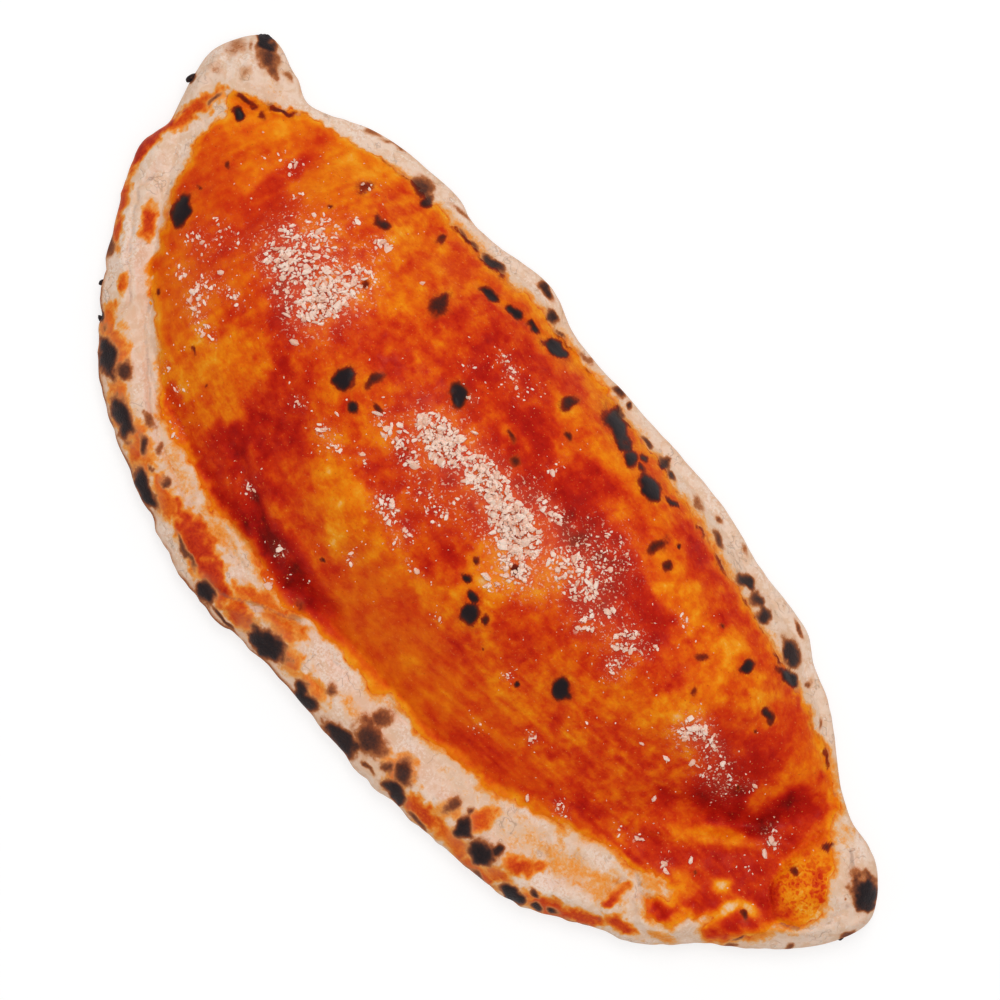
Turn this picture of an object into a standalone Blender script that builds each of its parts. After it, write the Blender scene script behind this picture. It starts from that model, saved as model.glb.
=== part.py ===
"""A calzone: one disc of pizza dough folded over its filling, pinched shut and baked.

The dough is one closed solid. Seen from above it is a half moon that ends in two pulled-out horns. X runs
from horn to horn, +Y is the folded back and -Y the pinched rim. It stands on its flat underside at Z = 0, and
the origin is the middle of that underside's box.
"""

import bpy
import numpy as np

# Driving dimensions, in metres.
LENGTH = 0.340  # horn to horn
WIDTH = 0.149  # folded back to pinched rim
HEIGHT = 0.052  # table to the crest of the dome

# The dough at its edge.
SLAB = 0.013  # two layers pressed together, outside the filled dome
EDGE_ROUNDING = 0.009  # how far in from the outline the top is still rounding over
BELLY_BACK = 0.009  # height of the widest line, along the folded back
BELLY_RIM = 0.006  # the same along the pinched rim
BELLY_HORN = 0.0075  # and at the tip of each horn
UNDERCUT = 0.008  # how far the underside draws in from the outline
HORN_LIFT = 0.003  # how far a horn's tip is clear of the table
HORN_LIFT_REACH = 0.030

# The filled dome. It rises from four creases: two follow the outline, and two cross it near the horns.
BACK_CREASE = 0.004  # distance from the outline of the folded back
RIM_WIDTH_LEFT = 0.015  # distance from the outline of the rim, at the left horn
RIM_WIDTH_RIGHT = 0.033  # and at the right horn
BACK_RISE, BACK_POWER = 0.060, 2.8
RIM_RISE, RIM_POWER = 0.084, 2.4
LEFT_CREASE, LEFT_DIRECTION, LEFT_RISE, LEFT_POWER = (-0.148, 0.033), (0.60, -0.80), 0.115, 3.2
RIGHT_CREASE, RIGHT_DIRECTION, RIGHT_RISE, RIGHT_POWER = (0.122, 0.020), (-0.86, 0.51), 0.125, 3.4

# The pinched rim: a low roll just inside the outline, with pleats along it.
ROLL_HEIGHT, ROLL_PLACE, ROLL_SPREAD = 0.0022, 0.010, 0.0055
PLEAT_HEIGHT, PLEATS, PLEAT_DRIFT = 0.0008, 19, 0.7

# Swellings and hollows of the baked skin: x, y, half-width in x, half-width in y, height.
SWELLINGS = (
    (-0.156, 0.033, 0.011, 0.012, 0.0070),  # left horn
    (0.157, 0.036, 0.012, 0.011, 0.0060),  # right horn
    (0.147, 0.022, 0.009, 0.010, 0.0060),  # blister of dough beside the right horn
    (0.128, -0.014, 0.008, 0.006, 0.0025),  # curled pinch of the rim
    (-0.105, 0.040, 0.024, 0.010, 0.0030),
    (-0.022, -0.018, 0.026, 0.012, 0.0030),
    (0.018, -0.004, 0.016, 0.014, 0.0025),
    (0.080, 0.036, 0.014, 0.022, 0.0018),
    (-0.002, 0.058, 0.040, 0.006, 0.0020),
    (-0.120, 0.018, 0.008, 0.026, -0.0030),
    (-0.058, -0.022, 0.014, 0.016, -0.0035),
    (0.020, 0.038, 0.032, 0.009, -0.0030),
    (0.112, 0.020, 0.012, 0.014, -0.0030),
)

# The outline, clockwise from the left horn's tip, in half lengths and half widths.
OUTLINE = (
    (-1.000, 0.44), (-0.960, 0.64), (-0.870, 0.63), (-0.805, 0.61), (-0.695, 0.77), (-0.530, 0.87),
    (-0.440, 0.865), (-0.290, 0.96), (-0.175, 0.92), (0.000, 0.955), (0.225, 0.993), (0.365, 0.967),
    (0.495, 0.967), (0.565, 0.90), (0.647, 0.846), (0.800, 0.665), (0.910, 0.63), (0.980, 0.523),
    (1.000, 0.40), (0.970, 0.19), (0.900, -0.03), (0.840, -0.175), (0.810, -0.295), (0.770, -0.39),
    (0.725, -0.45), (0.590, -0.67), (0.376, -0.81), (0.176, -0.886), (-0.035, -0.92), (-0.218, -0.993),
    (-0.420, -0.926), (-0.620, -0.79), (-0.776, -0.53), (-0.930, -0.107), (-0.947, 0.107), (-0.980, 0.27),
)
SPLINE_STEPS = 16  # points along each stretch of the outline

# The mesh: sections across the calzone, and points around each section.
SECTIONS = 92
TOP_COLUMNS = 34
UNDERCUT_STEPS = 4

DOUGH_COLOUR = (0.78, 0.60, 0.45, 1.0)
DOUGH_ROUGHNESS = 0.75


def clear_scene():
    """Removes whatever the scene holds."""
    for old in list(bpy.data.objects):
        bpy.data.objects.remove(old)


def closed_spline(points, steps):
    """A closed Catmull-Rom spline through the points, with this many samples along each stretch."""
    here = np.array(points)[:, None, :]
    before, after, beyond = (np.roll(here, shift, axis=0) for shift in (1, -1, -2))
    t = (np.arange(steps) / steps)[None, :, None]
    curve = 0.5 * (
        2 * here
        + (after - before) * t
        + (2 * before - 5 * here + 4 * after - beyond) * t**2
        + (3 * here - before - 3 * after + beyond) * t**3
    )
    return curve.reshape(-1, 2)


def outline():
    """The closed outline, scaled and centred so that its box is exactly LENGTH by WIDTH."""
    loop = closed_spline(OUTLINE, SPLINE_STEPS)
    low, high = loop.min(axis=0), loop.max(axis=0)
    loop = (loop - (low + high) / 2) / (high - low) * (LENGTH, WIDTH)
    return np.roll(loop, -loop[:, 0].argmin(), axis=0)


def resampled(line, shares):
    """Points at these shares of the line's length."""
    steps = np.linalg.norm(np.diff(line, axis=0), axis=1)
    along = np.concatenate([[0], steps.cumsum()]) / steps.sum()
    return np.stack([np.interp(shares, along, line[:, axis]) for axis in (0, 1)], axis=1)


def crowded(count, share):
    """Values from 0 to 1 that crowd towards both ends: an even spacing mixed with a cosine one."""
    even = np.linspace(0, 1, count)
    return (1 - share) * even + share * (1 - np.cos(np.pi * even)) / 2


def smooth(value):
    """Rises from 0 to 1 as the value does, with no corner at either end."""
    t = np.clip(value, 0, 1)
    return t * t * (3 - 2 * t)


def rise(distance, reach, power):
    """Rises from 0 at the crease, steep at first, and rounds over to 1 at the reach."""
    return 1 - (1 - np.clip(distance / reach, 0, 1)) ** power


def edge_distance(place, loop):
    """Distance from each point to the nearest stretch of the closed outline."""
    stretch = np.roll(loop, -1, axis=0) - loop
    start = place[..., None, :] - loop
    share = np.clip((start * stretch).sum(axis=-1) / (stretch**2).sum(axis=-1), 0, 1)
    return np.linalg.norm(start - share[..., None] * stretch, axis=-1).min(axis=-1)


def past_crease(x, y, place, direction):
    """How far a point lies beyond a straight crease, along the crease's direction."""
    across = np.array(direction) / np.linalg.norm(direction)
    return (x - place[0]) * across[0] + (y - place[1]) * across[1]


def dome_height(x, y, from_back, from_rim, share):
    """The filled dome above the slab: the product of one rise from each of its four creases."""
    rim_width = RIM_WIDTH_LEFT + (RIM_WIDTH_RIGHT - RIM_WIDTH_LEFT) * share
    product = (
        rise(from_back - BACK_CREASE, BACK_RISE, BACK_POWER)
        * rise(from_rim - rim_width, RIM_RISE, RIM_POWER)
        * rise(past_crease(x, y, LEFT_CREASE, LEFT_DIRECTION), LEFT_RISE, LEFT_POWER)
        * rise(past_crease(x, y, RIGHT_CREASE, RIGHT_DIRECTION), RIGHT_RISE, RIGHT_POWER)
    )
    return (HEIGHT - SLAB) * product / product.max()


def rim_height(from_rim, share):
    """The rim's roll, a bell across the rim, and the uneven pleats that wave along it."""
    bell = np.exp(-(((from_rim - ROLL_PLACE) / ROLL_SPREAD) ** 2))
    turns = PLEATS * share + PLEAT_DRIFT * np.sin(2 * np.pi * 3 * share)
    return bell * (ROLL_HEIGHT + PLEAT_HEIGHT * np.sin(2 * np.pi * turns))


def swelling_height(x, y):
    """The sum of the swellings and hollows, each a round bell."""
    total = np.zeros_like(x)
    for centre_x, centre_y, reach_x, reach_y, height in SWELLINGS:
        total += height * np.exp(-(((x - centre_x) / reach_x) ** 2) - ((y - centre_y) / reach_y) ** 2)
    return total


def dough_points():
    """The solid's points: a grid of sections by points around each, and one tip for each horn."""
    loop = outline()
    right = loop[:, 0].argmax()
    shares = crowded(SECTIONS + 2, 0.35)
    back = resampled(loop[: right + 1], shares)
    rim = resampled(np.concatenate([loop[right:], loop[:1]])[::-1], shares)
    tips = [np.append(back[end], BELLY_HORN) for end in (0, -1)]
    back, rim, share = back[1:-1, None], rim[1:-1, None], shares[1:-1, None]

    width = np.linalg.norm(rim - back, axis=2)
    inward = (rim - back) / width[..., None]
    body = smooth(width / 0.060)
    belly_back = BELLY_HORN + (BELLY_BACK - BELLY_HORN) * body
    belly_rim = BELLY_HORN + (BELLY_RIM - BELLY_HORN) * body
    nearest_tip = np.minimum(abs(back[..., 0] + LENGTH / 2), abs(back[..., 0] - LENGTH / 2))
    floor = HORN_LIFT * (1 - smooth(nearest_tip / HORN_LIFT_REACH))

    # The top, from the folded back over the dome to the rim.
    across = crowded(TOP_COLUMNS, 0.45)[None, :]
    place = back + inward * (width * across)[..., None]
    x, y = place[..., 0], place[..., 1]
    belly = belly_back + (belly_rim - belly_back) * across
    rounding = np.sqrt(1 - (1 - np.clip(edge_distance(place, loop) / EDGE_ROUNDING, 0, 1)) ** 2)
    shape = (
        SLAB
        + dome_height(x, y, width * across, width * (1 - across), share)
        + rim_height(width * (1 - across), share)
        + swelling_height(x, y)
    )
    top = np.dstack([x, y, belly + (shape - belly) * rounding])

    # The undercut and the flat underside, from the rim back to the fold.
    turn = np.linspace(0, np.pi / 2, UNDERCUT_STEPS + 1)[None, 1:]
    draw = np.minimum(UNDERCUT, 0.4 * width) * (1 - np.cos(turn))
    under_rim = np.dstack([rim - inward * draw[..., None], floor + (belly_rim - floor) * (1 - np.sin(turn))])
    under_back = np.dstack(
        [back + inward * draw[..., None], floor + (belly_back - floor) * (1 - np.sin(turn))]
    )
    rings = np.concatenate([top, under_rim, under_back[:, ::-1]], axis=1)
    rings[..., 2] *= HEIGHT / rings[..., 2].max()
    return rings, tips


def dough_faces(sections, around):
    """Quads between neighbouring sections, and a fan of triangles round each horn's tip."""
    ring = np.arange(sections * around).reshape(sections, around)
    following = np.roll(ring, -1, axis=1)
    quads = np.stack([ring[:-1], following[:-1], following[1:], ring[1:]], axis=2).reshape(-1, 4)
    left, right = sections * around, sections * around + 1
    fans = [(left, int(b), int(a)) for a, b in zip(ring[0], following[0])]
    fans += [(right, int(a), int(b)) for a, b in zip(ring[-1], following[-1])]
    return [tuple(map(int, quad)) for quad in quads] + fans


def dough_material():
    """Baked dough, as one plain colour."""
    material = bpy.data.materials.new("baked_dough")
    material.use_nodes = True
    shader = material.node_tree.nodes["Principled BSDF"]
    shader.inputs["Base Color"].default_value = DOUGH_COLOUR
    shader.inputs["Roughness"].default_value = DOUGH_ROUGHNESS
    shader.inputs["Metallic"].default_value = 0.0
    return material


def make_dough():
    """The folded dough as one closed object that stands on Z = 0."""
    rings, tips = dough_points()
    sections, around, _ = rings.shape
    mesh = bpy.data.meshes.new("dough")
    points = np.concatenate([rings.reshape(-1, 3), tips])
    mesh.from_pydata(points.tolist(), [], dough_faces(sections, around))
    mesh.materials.append(dough_material())
    mesh.shade_smooth()
    mesh.update()
    dough = bpy.data.objects.new("dough", mesh)
    bpy.context.scene.collection.objects.link(dough)
    return dough


clear_scene()
make_dough()
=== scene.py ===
"""The looks of a baked calzone: charred dough, tomato sauce over the filled dome, and grated cheese.

The dough and the sauce are dense grids over the same surface formula as the plain solid. Places on the
calzone are in millimetres: x runs from the left horn to the right horn, y towards the folded back, z up.
"""

import bpy
import numpy as np
from mathutils import Matrix, Vector
from mathutils.bvhtree import BVHTree


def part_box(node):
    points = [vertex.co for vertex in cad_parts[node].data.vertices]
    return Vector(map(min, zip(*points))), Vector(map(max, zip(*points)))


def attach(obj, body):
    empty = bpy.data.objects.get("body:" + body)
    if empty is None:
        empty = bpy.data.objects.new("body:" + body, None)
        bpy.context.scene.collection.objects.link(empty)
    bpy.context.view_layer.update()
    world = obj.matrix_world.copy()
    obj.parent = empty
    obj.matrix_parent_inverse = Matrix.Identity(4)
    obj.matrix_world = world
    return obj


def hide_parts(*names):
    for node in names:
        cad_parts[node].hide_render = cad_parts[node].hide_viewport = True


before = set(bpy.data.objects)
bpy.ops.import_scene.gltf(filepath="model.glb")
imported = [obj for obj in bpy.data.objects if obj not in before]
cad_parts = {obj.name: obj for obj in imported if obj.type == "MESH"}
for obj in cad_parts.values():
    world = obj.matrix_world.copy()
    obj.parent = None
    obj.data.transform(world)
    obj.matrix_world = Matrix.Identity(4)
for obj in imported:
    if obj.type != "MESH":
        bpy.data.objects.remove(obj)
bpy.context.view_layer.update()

MM = 0.001
BODY = "root"
LOW, HIGH = (np.array(corner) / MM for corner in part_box("dough"))
LENGTH, WIDTH, HEIGHT = HIGH - LOW
TOPPING = 1.3  # what sauce and cheese add on the crest, so the dough's own crest is this much lower
HEADROOM = 0.9  # what the highest skin leaves free below the solid's top

# The dough's section, as in the solid.
SLAB = 13.0
EDGE_ROUNDING = 9.0
BELLY_BACK, BELLY_RIM, BELLY_HORN = 9.0, 6.0, 7.5
FULL_SECTION = 60.0  # from this width on, a section has the full belly heights
UNDERCUT = 8.0
HORN_LIFT, HORN_LIFT_REACH = 3.0, 30.0
BACK_CREASE, RIM_WIDTH_LEFT, RIM_WIDTH_RIGHT = 4.0, 15.0, 33.0
BACK_RISE, BACK_POWER = 60.0, 2.8
RIM_RISE, RIM_POWER = 84.0, 2.4
LEFT_CREASE, LEFT_DIRECTION = (-148.0, 33.0), (0.60, -0.80)
LEFT_RISE, LEFT_POWER = 115.0, 3.2
RIGHT_CREASE, RIGHT_DIRECTION = (122.0, 20.0), (-0.86, 0.51)
RIGHT_RISE, RIGHT_POWER = 125.0, 3.4
ROLL_HEIGHT, ROLL_PLACE, ROLL_SPREAD = 2.2, 10.0, 5.5
PLEAT_HEIGHT, PLEATS, PLEAT_DRIFT = 0.8, 19, 0.7

# Broad swellings and hollows of the skin: x, y, half-width in x, half-width in y, height.
SWELLINGS = (
    (-156, 33, 11, 12, 7.0), (157, 36, 12, 11, 6.0), (147, 22, 9, 10, 6.0), (128, -14, 8, 6, 2.5),
    (-105, 40, 24, 10, 3.0), (-22, -18, 26, 12, 3.0), (18, -4, 16, 14, 2.5), (80, 36, 14, 22, 1.8),
    (-2, 58, 40, 6, 2.0), (-120, 18, 8, 26, -3.0), (-58, -22, 14, 16, -3.5), (20, 38, 32, 9, -3.0),
    (112, 20, 12, 14, -3.0),
)

# The outline, clockwise from the left horn's tip, in half lengths and half widths.
OUTLINE = (
    (-1.000, 0.44), (-0.960, 0.64), (-0.870, 0.63), (-0.805, 0.61), (-0.695, 0.77), (-0.530, 0.87),
    (-0.440, 0.865), (-0.290, 0.96), (-0.175, 0.92), (0.000, 0.955), (0.225, 0.993), (0.365, 0.967),
    (0.495, 0.967), (0.565, 0.90), (0.647, 0.846), (0.800, 0.665), (0.910, 0.63), (0.980, 0.523),
    (1.000, 0.40), (0.970, 0.19), (0.900, -0.03), (0.840, -0.175), (0.810, -0.295), (0.770, -0.39),
    (0.725, -0.45), (0.590, -0.67), (0.376, -0.81), (0.176, -0.886), (-0.035, -0.92), (-0.218, -0.993),
    (-0.420, -0.926), (-0.620, -0.79), (-0.776, -0.53), (-0.930, -0.107), (-0.947, 0.107), (-0.980, 0.27),
)
SPLINE_STEPS = 24

# Narrow folds of the skin: depth (below 0 for a ridge), half-width, and the line that the fold follows.
FOLDS = (
    (1.2, 1.4, ((-154, 27), (-147, 30), (-138, 39))),
    (1.4, 2.4, ((-66, -36), (-52, -41), (-38, -45), (-20, -45), (-8, -42))),
    (-0.9, 3.0, ((-62, -31), (-50, -35), (-36, -39), (-20, -39))),
    (1.8, 4.2, ((98, 5), (113, 12), (122, 21), (128, 31), (131, 42))),
    (-1.3, 2.6, ((104, -5), (113, 4), (120, 12), (128, 21), (135, 30))),
    (0.7, 1.0, ((-104, 56), (-75, 59.5), (-50, 63.5), (-30, 63.5), (0, 66), (40, 64.5), (80, 61.5), (105, 57),
                (132, 49))),
    (0.9, 1.1, ((-62, 54), (-48, 57), (-40, 59.5), (-29, 61.5))),
    (1.3, 1.3, ((-36, -69), (-24, -61), (-11, -52))),
    (-1.2, 1.8, ((-33, -71), (-20, -62), (-9, -54))),
    (1.0, 1.3, ((-148.5, -5), (-148, -13), (-142, -19), (-134, -26))),
    (-1.1, 2.0, ((-153, -3), (-150, -13), (-142, -23), (-133, -31))),
    (1.0, 0.9, ((-133, -20), (-134, -27), (-127, -31), (-121, -36), (-119.5, -44))),
    (1.0, 1.0, ((-119, -30), (-112, -37), (-104, -42), (-90, -51))),
    (0.8, 0.9, ((-102, -43), (-92, -47), (-82, -54), (-64, -57))),
    (0.7, 0.9, ((-60, -58), (-44, -56), (-30, -57))),
    (0.9, 1.0, ((2, -50.5), (5, -52), (9, -50.5))),
    (0.9, 1.0, ((24, -44.5), (28, -45.5), (33, -44))),
    (0.7, 1.0, ((-2, -56), (6, -60), (14, -59))),
    (0.7, 1.0, ((40, -47), (43, -53), (41, -60))),
    (0.7, 1.0, ((56, -44), (58, -51), (65, -56))),
    (0.7, 1.0, ((76, -41), (78, -48), (86, -53))),
    (0.8, 1.0, ((88, -31), (100, -37), (106, -42))),
    (1.2, 1.2, ((148, 42), (152, 40), (155, 37))),
    (-1.6, 1.7, ((132, -6), (136.5, -11), (134.5, -19), (127, -22.5), (121, -19.5))),
    (1.0, 1.4, ((112, -14), (120, -17), (128, -15))),
    (0.9, 1.1, ((113, -20), (114, -27), (119, -33))),
    (-1.0, 1.6, ((141, -11), (148, -1), (153, 9), (160, 17))),
    (1.2, 1.2, ((138, 37), (137, 27), (141, 16), (150, 10), (157, 15))),
    (0.8, 1.2, ((158, 16), (162, 24), (160, 31))),
    (0.6, 1.6, ((-164, 41), (-159, 36), (-158, 29), (-162, 23))),
    (0.6, 1.4, ((-150, 44), (-146, 40), (-143, 35))),
)

DEEP_FOLD = 1.2  # from this depth on, a fold gets the full painted shade of a crease

# The sauce's edge, from the left horn along the pinched rim, round the right horn and back along the fold.
SAUCE_EDGE = (
    (-151, 22), (-148, 8), (-141, -5), (-133, -14), (-126, -25), (-111, -33), (-98, -41), (-88, -49),
    (-70, -50), (-55, -53), (-40, -50), (-26, -53), (-17, -53), (-10, -50), (0, -48), (14, -47), (20, -47),
    (24, -43.5), (38, -43), (50, -39), (65, -36), (75, -31), (85, -25), (100, -18.5), (104, -15), (113, -15),
    (117, -12), (121, -10), (125, -7.5), (126, -11.5), (122.5, -13.5), (121.5, -17), (125, -19.5),
    (130, -19.5), (133.5, -16), (134, -10), (136.5, -5.5), (138.5, -4), (140, -8.5), (143, -9.5), (147, -5),
    (150, 1), (151.5, 8), (154, 12), (157, 15.5), (158, 20), (155.5, 26), (151, 31), (149, 36), (143, 38),
    (139, 42), (136, 48), (128, 51), (115, 55.5), (100, 58), (91, 59), (75, 61.5), (62, 62.5), (50, 63.5),
    (36, 65), (15, 66), (-10, 66), (-40, 65), (-50, 63.5), (-62, 61), (-75, 60), (-100, 57), (-110, 53),
    (-118, 50), (-128, 47), (-137, 41.5), (-147, 35), (-154, 29),
)

# How thick the sauce lies: x, y, half-width in x, half-width in y, turn in degrees, and level, from 0, a thin
# yellow-orange smear, to 1, a deep red pool. Levels above 1 are painted shade, darker than any pool, in the
# fold at the dome's foot and in the valley at the right. The levels are blended by how near each one is.
SAUCE_LEVELS = (
    (-143, 26, 9, 9, 40, 0.26), (-137, 8, 8, 12, 20, 0.45), (-133, 38, 7, 6, 0, 0.28),
    (-112, 44, 12, 6, 20, 0.14), (-127, 40, 2.5, 8, 10, 0.66), (-123, 26, 3, 10, 5, 0.72),
    (-117, 4, 4, 11, 5, 0.62), (-130, -10, 6, 5, 0, 0.4), (-113, 32, 7, 6, 0, 0.25),
    (-128, 20, 3.5, 8, 5, 0.32), (-115, 17, 3, 7, 0, 0.6), (-108, -8, 7, 6, 0, 0.42),
    (-112, -22, 9, 7, -20, 0.3), (-97, -31, 9, 6, -25, 0.26), (-84, -24, 6, 12, 20, 0.32),
    (-96, -42, 10, 3, -30, 0.55), (-82, -45, 7, 4, 0, 0.52), (-100, 13, 8, 6, 0, 0.62),
    (-103, 26, 5, 4, 0, 0.25), (-84, 22, 6, 7, 0, 0.3), (-90, 4, 9, 3.5, -20, 0.68),
    (-76, -4, 7, 4, -25, 0.66), (-68, -12, 6, 6, -40, 0.72), (-63, -24, 6, 9, 0, 0.76),
    (-95, 40, 8, 6, 0, 0.3), (-95, 50, 16, 4, 8, 0.36), (-84, 36, 7, 6, 0, 0.36), (-72, 14, 7, 9, 0, 0.56),
    (-72, 34, 6, 9, 0, 0.34), (-66, 48, 9, 6, 0, 0.34), (-75, 55, 12, 3, 0, 0.5), (-60, 30, 6, 6, 0, 0.44),
    (-58, 5, 8, 6, 0, 0.34), (-50, -3, 10, 4, 0, 0.3), (-50, 16, 7, 7, 0, 0.56), (-46, 26, 7, 6, 0, 0.52),
    (-45, 46, 12, 6, 0, 0.66), (-38, 60, 20, 2.6, 3, 0.32), (-30, 50, 14, 6, -8, 0.66),
    (-28, 38, 16, 7, 0, 0.7), (-52, 58, 10, 2, 10, 0.28), (-14, 54, 4, 5, 0, 0.2), (-7, 46, 6, 4, -30, 0.26),
    (-3, 57, 14, 4, 0, 0.3), (-10, 36, 7, 5, 0, 0.62), (8, 45, 10, 5, -8, 0.8), (8, 37, 13, 6, 0, 0.92),
    (22, 34, 12, 6, 0, 0.96), (42, 34, 12, 6, -6, 0.86), (20, 58, 12, 3, 0, 0.26), (27, 50, 9, 4, 20, 0.36),
    (36, 52, 8, 5, 0, 0.32), (45, 46, 8, 4, 0, 0.22), (48, 59, 12, 4, -2, 0.74), (66, 55, 6, 4, 0, 0.6),
    (62, 46, 8, 4, 0, 0.36), (73, 50, 7, 5, 0, 0.18), (80, 57, 9, 3, 0, 0.6), (58, 36, 8, 6, 0, 0.66),
    (77, 38, 4, 8, 0, 0.18), (77, 22, 4, 9, 5, 0.26), (68, 30, 6, 8, 0, 0.58), (85, 44, 7, 4, 0, 0.34),
    (92, 49, 8, 3, -5, 0.24), (104, 48, 8, 5, -10, 0.58), (106, 38, 8, 5, 0, 0.78), (93, 36, 6, 5, 0, 0.66),
    (116, 44, 4, 7, 0, 0.34), (119, 30, 3, 9, 8, 0.3), (130, 42, 4, 6, 0, 0.82), (112, 20, 6, 5, 20, 0.94),
    (100, 26, 9, 6, 0, 0.74), (90, 16, 6, 8, 0, 0.36), (92, 6, 9, 4, 20, 0.66), (104, 8, 7, 4, 20, 0.6),
    (128, 10, 6, 5, 0, 0.72), (124, 2, 6, 5, 20, 0.7), (137, 42, 2.2, 7, 0, 0.42), (62, 16, 7, 7, 0, 0.4),
    (50, 16, 7, 6, 0, 0.7), (55, 0, 8, 7, 0, 0.42), (70, 6, 7, 5, 0, 0.58), (36, 14, 6, 6, 0, 0.62),
    (24, 14, 7, 5, 0, 0.22), (12, 4, 9, 7, 0, 0.2), (19, -8, 8, 4, 0, 0.18), (31, 4, 6, 6, 0, 0.62),
    (37, -6, 7, 4, 0, 0.62), (-5, 6, 8, 8, 0, 0.62), (-22, 8, 9, 6, 0, 0.6), (-38, 6, 8, 5, 0, 0.4),
    (-2, -5, 8, 5, 0, 0.56), (-18, -4, 10, 4, 0, 0.62), (-33, -5, 8, 4, 0, 0.5), (-36, -16, 8, 6, -10, 0.18),
    (-20, -22, 10, 6, 0, 0.16), (-10, -15, 8, 4, 0, 0.26), (-48, -12, 6, 5, 0, 0.3),
    (-52, -22, 6, 6, 0, 0.6), (-55, -34, 9, 5, 0, 0.8), (-38, -33, 10, 5, -10, 0.5),
    (-60, -44, 14, 6, 0, 0.72), (-34, -45, 18, 4.5, 0, 0.94), (-12, -44, 9, 5, 0, 0.82),
    (-18, -33, 9, 5, 0, 0.44), (-2, -28, 11, 6, 8, 0.44), (-2, -42, 7, 5, 0, 0.46), (10, -20, 9, 6, 0, 0.42),
    (8, -34, 12, 5, 4, 0.34), (14, -43, 14, 4, 4, 0.26), (30, -16, 12, 4, 6, 0.44), (30, -26, 14, 4, 6, 0.3),
    (34, -36, 14, 4, 6, 0.4), (50, -24, 13, 4, 8, 0.5), (56, -12, 12, 4, 8, 0.42),
    (52, -34, 12, 3.5, 12, 0.58), (68, -26, 12, 4, 15, 0.6), (72, -16, 12, 4, 12, 0.46),
    (78, -4, 12, 4, 10, 0.44), (86, -14, 11, 4, 18, 0.62), (90, -22, 8, 3, 25, 0.62),
    (98, -6, 10, 3.5, 22, 0.48), (104, -13, 8, 3, 25, 0.66), (113, -5, 8, 3.5, 30, 0.72),
    # painted shade: the levels above 1 below, along the fold at the dome's foot and in the valley at the
    # right
    (88, 9, 7, 3, 10, 0.58), (70, -34, 6, 2, 20, 0.4), (-46, -41, 12, 1.3, -12, 1.18),
    (-28, -44.5, 12, 1.4, -2, 1.2), (-62, -37, 6, 2, -25, 0.95), (128, 45, 4, 3, 0, 0.15),
    (126, 33, 4.5, 9, 5, 1.1), (122, 24, 4, 5, 0, 1.1), (114, 19, 6, 4, 30, 1.12), (109, 24, 5, 5, 0, 0.95),
    (121, 12.5, 9, 2.6, 52, 0.18), (114.5, 4, 5, 2.2, 50, 0.4), (131, 30, 3, 7, 10, 0.62),
    (134, 14, 5, 5, 0, 0.66), (126, -16, 4, 2.6, 0, 0.85), (131.5, -13, 1.5, 5, -10, 0.3),
    (123, -11.5, 2.5, 1.5, 0, 0), (125.5, -5, 3, 2.5, 0, 0.12), (133.5, 5.5, 1.7, 3, -15, -0.22),
    (138.5, 0, 1.2, 3.5, -15, -0.2), (144, -3, 3, 5, -20, 0.82), (143.5, 7, 1.8, 1.6, 0, -0.1),
    (136.5, 8, 1.5, 3.5, 0, 0.6), (134, -4, 3.2, 3.5, 0, 0.72), (126, 5, 4, 5, -20, 0.74),
    (144.5, 33.5, 4.5, 2.6, 0, 0.16), (146, 18.5, 3.5, 2.5, 0, 0.22), (153.5, 19, 2.8, 1.8, 0, 0.1),
    (154, 14.5, 4, 2.4, 35, 0.64), (151.5, 27, 3.5, 2, -40, 0.54), (143, 13.5, 3, 3, 0, 0.7),
    (149, 24, 5, 4, 0, 0.32), (141, 27, 2, 5, 0, 0.26), (-138, 33, 8, 4, 40, 0.22),
    (-149, 19, 2.5, 4, 0, 0.52), (-141, 9, 3, 4, 0, 0.56), (-133, 4, 4, 6, 0, 0.44),
)
LEVEL_BETWEEN, LEVEL_PULL = 0.46, 0.05  # the level away from all of them, and how strongly it counts
THINNER, THICKER = 0.97, 1.08  # how far the levels below and above it count
LEVEL_FAINT, LEVEL_DEEP_SHADE = -0.25, 1.20  # sauce wiped almost off, and the darkest painted shade, in the fold at the dome's foot
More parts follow.
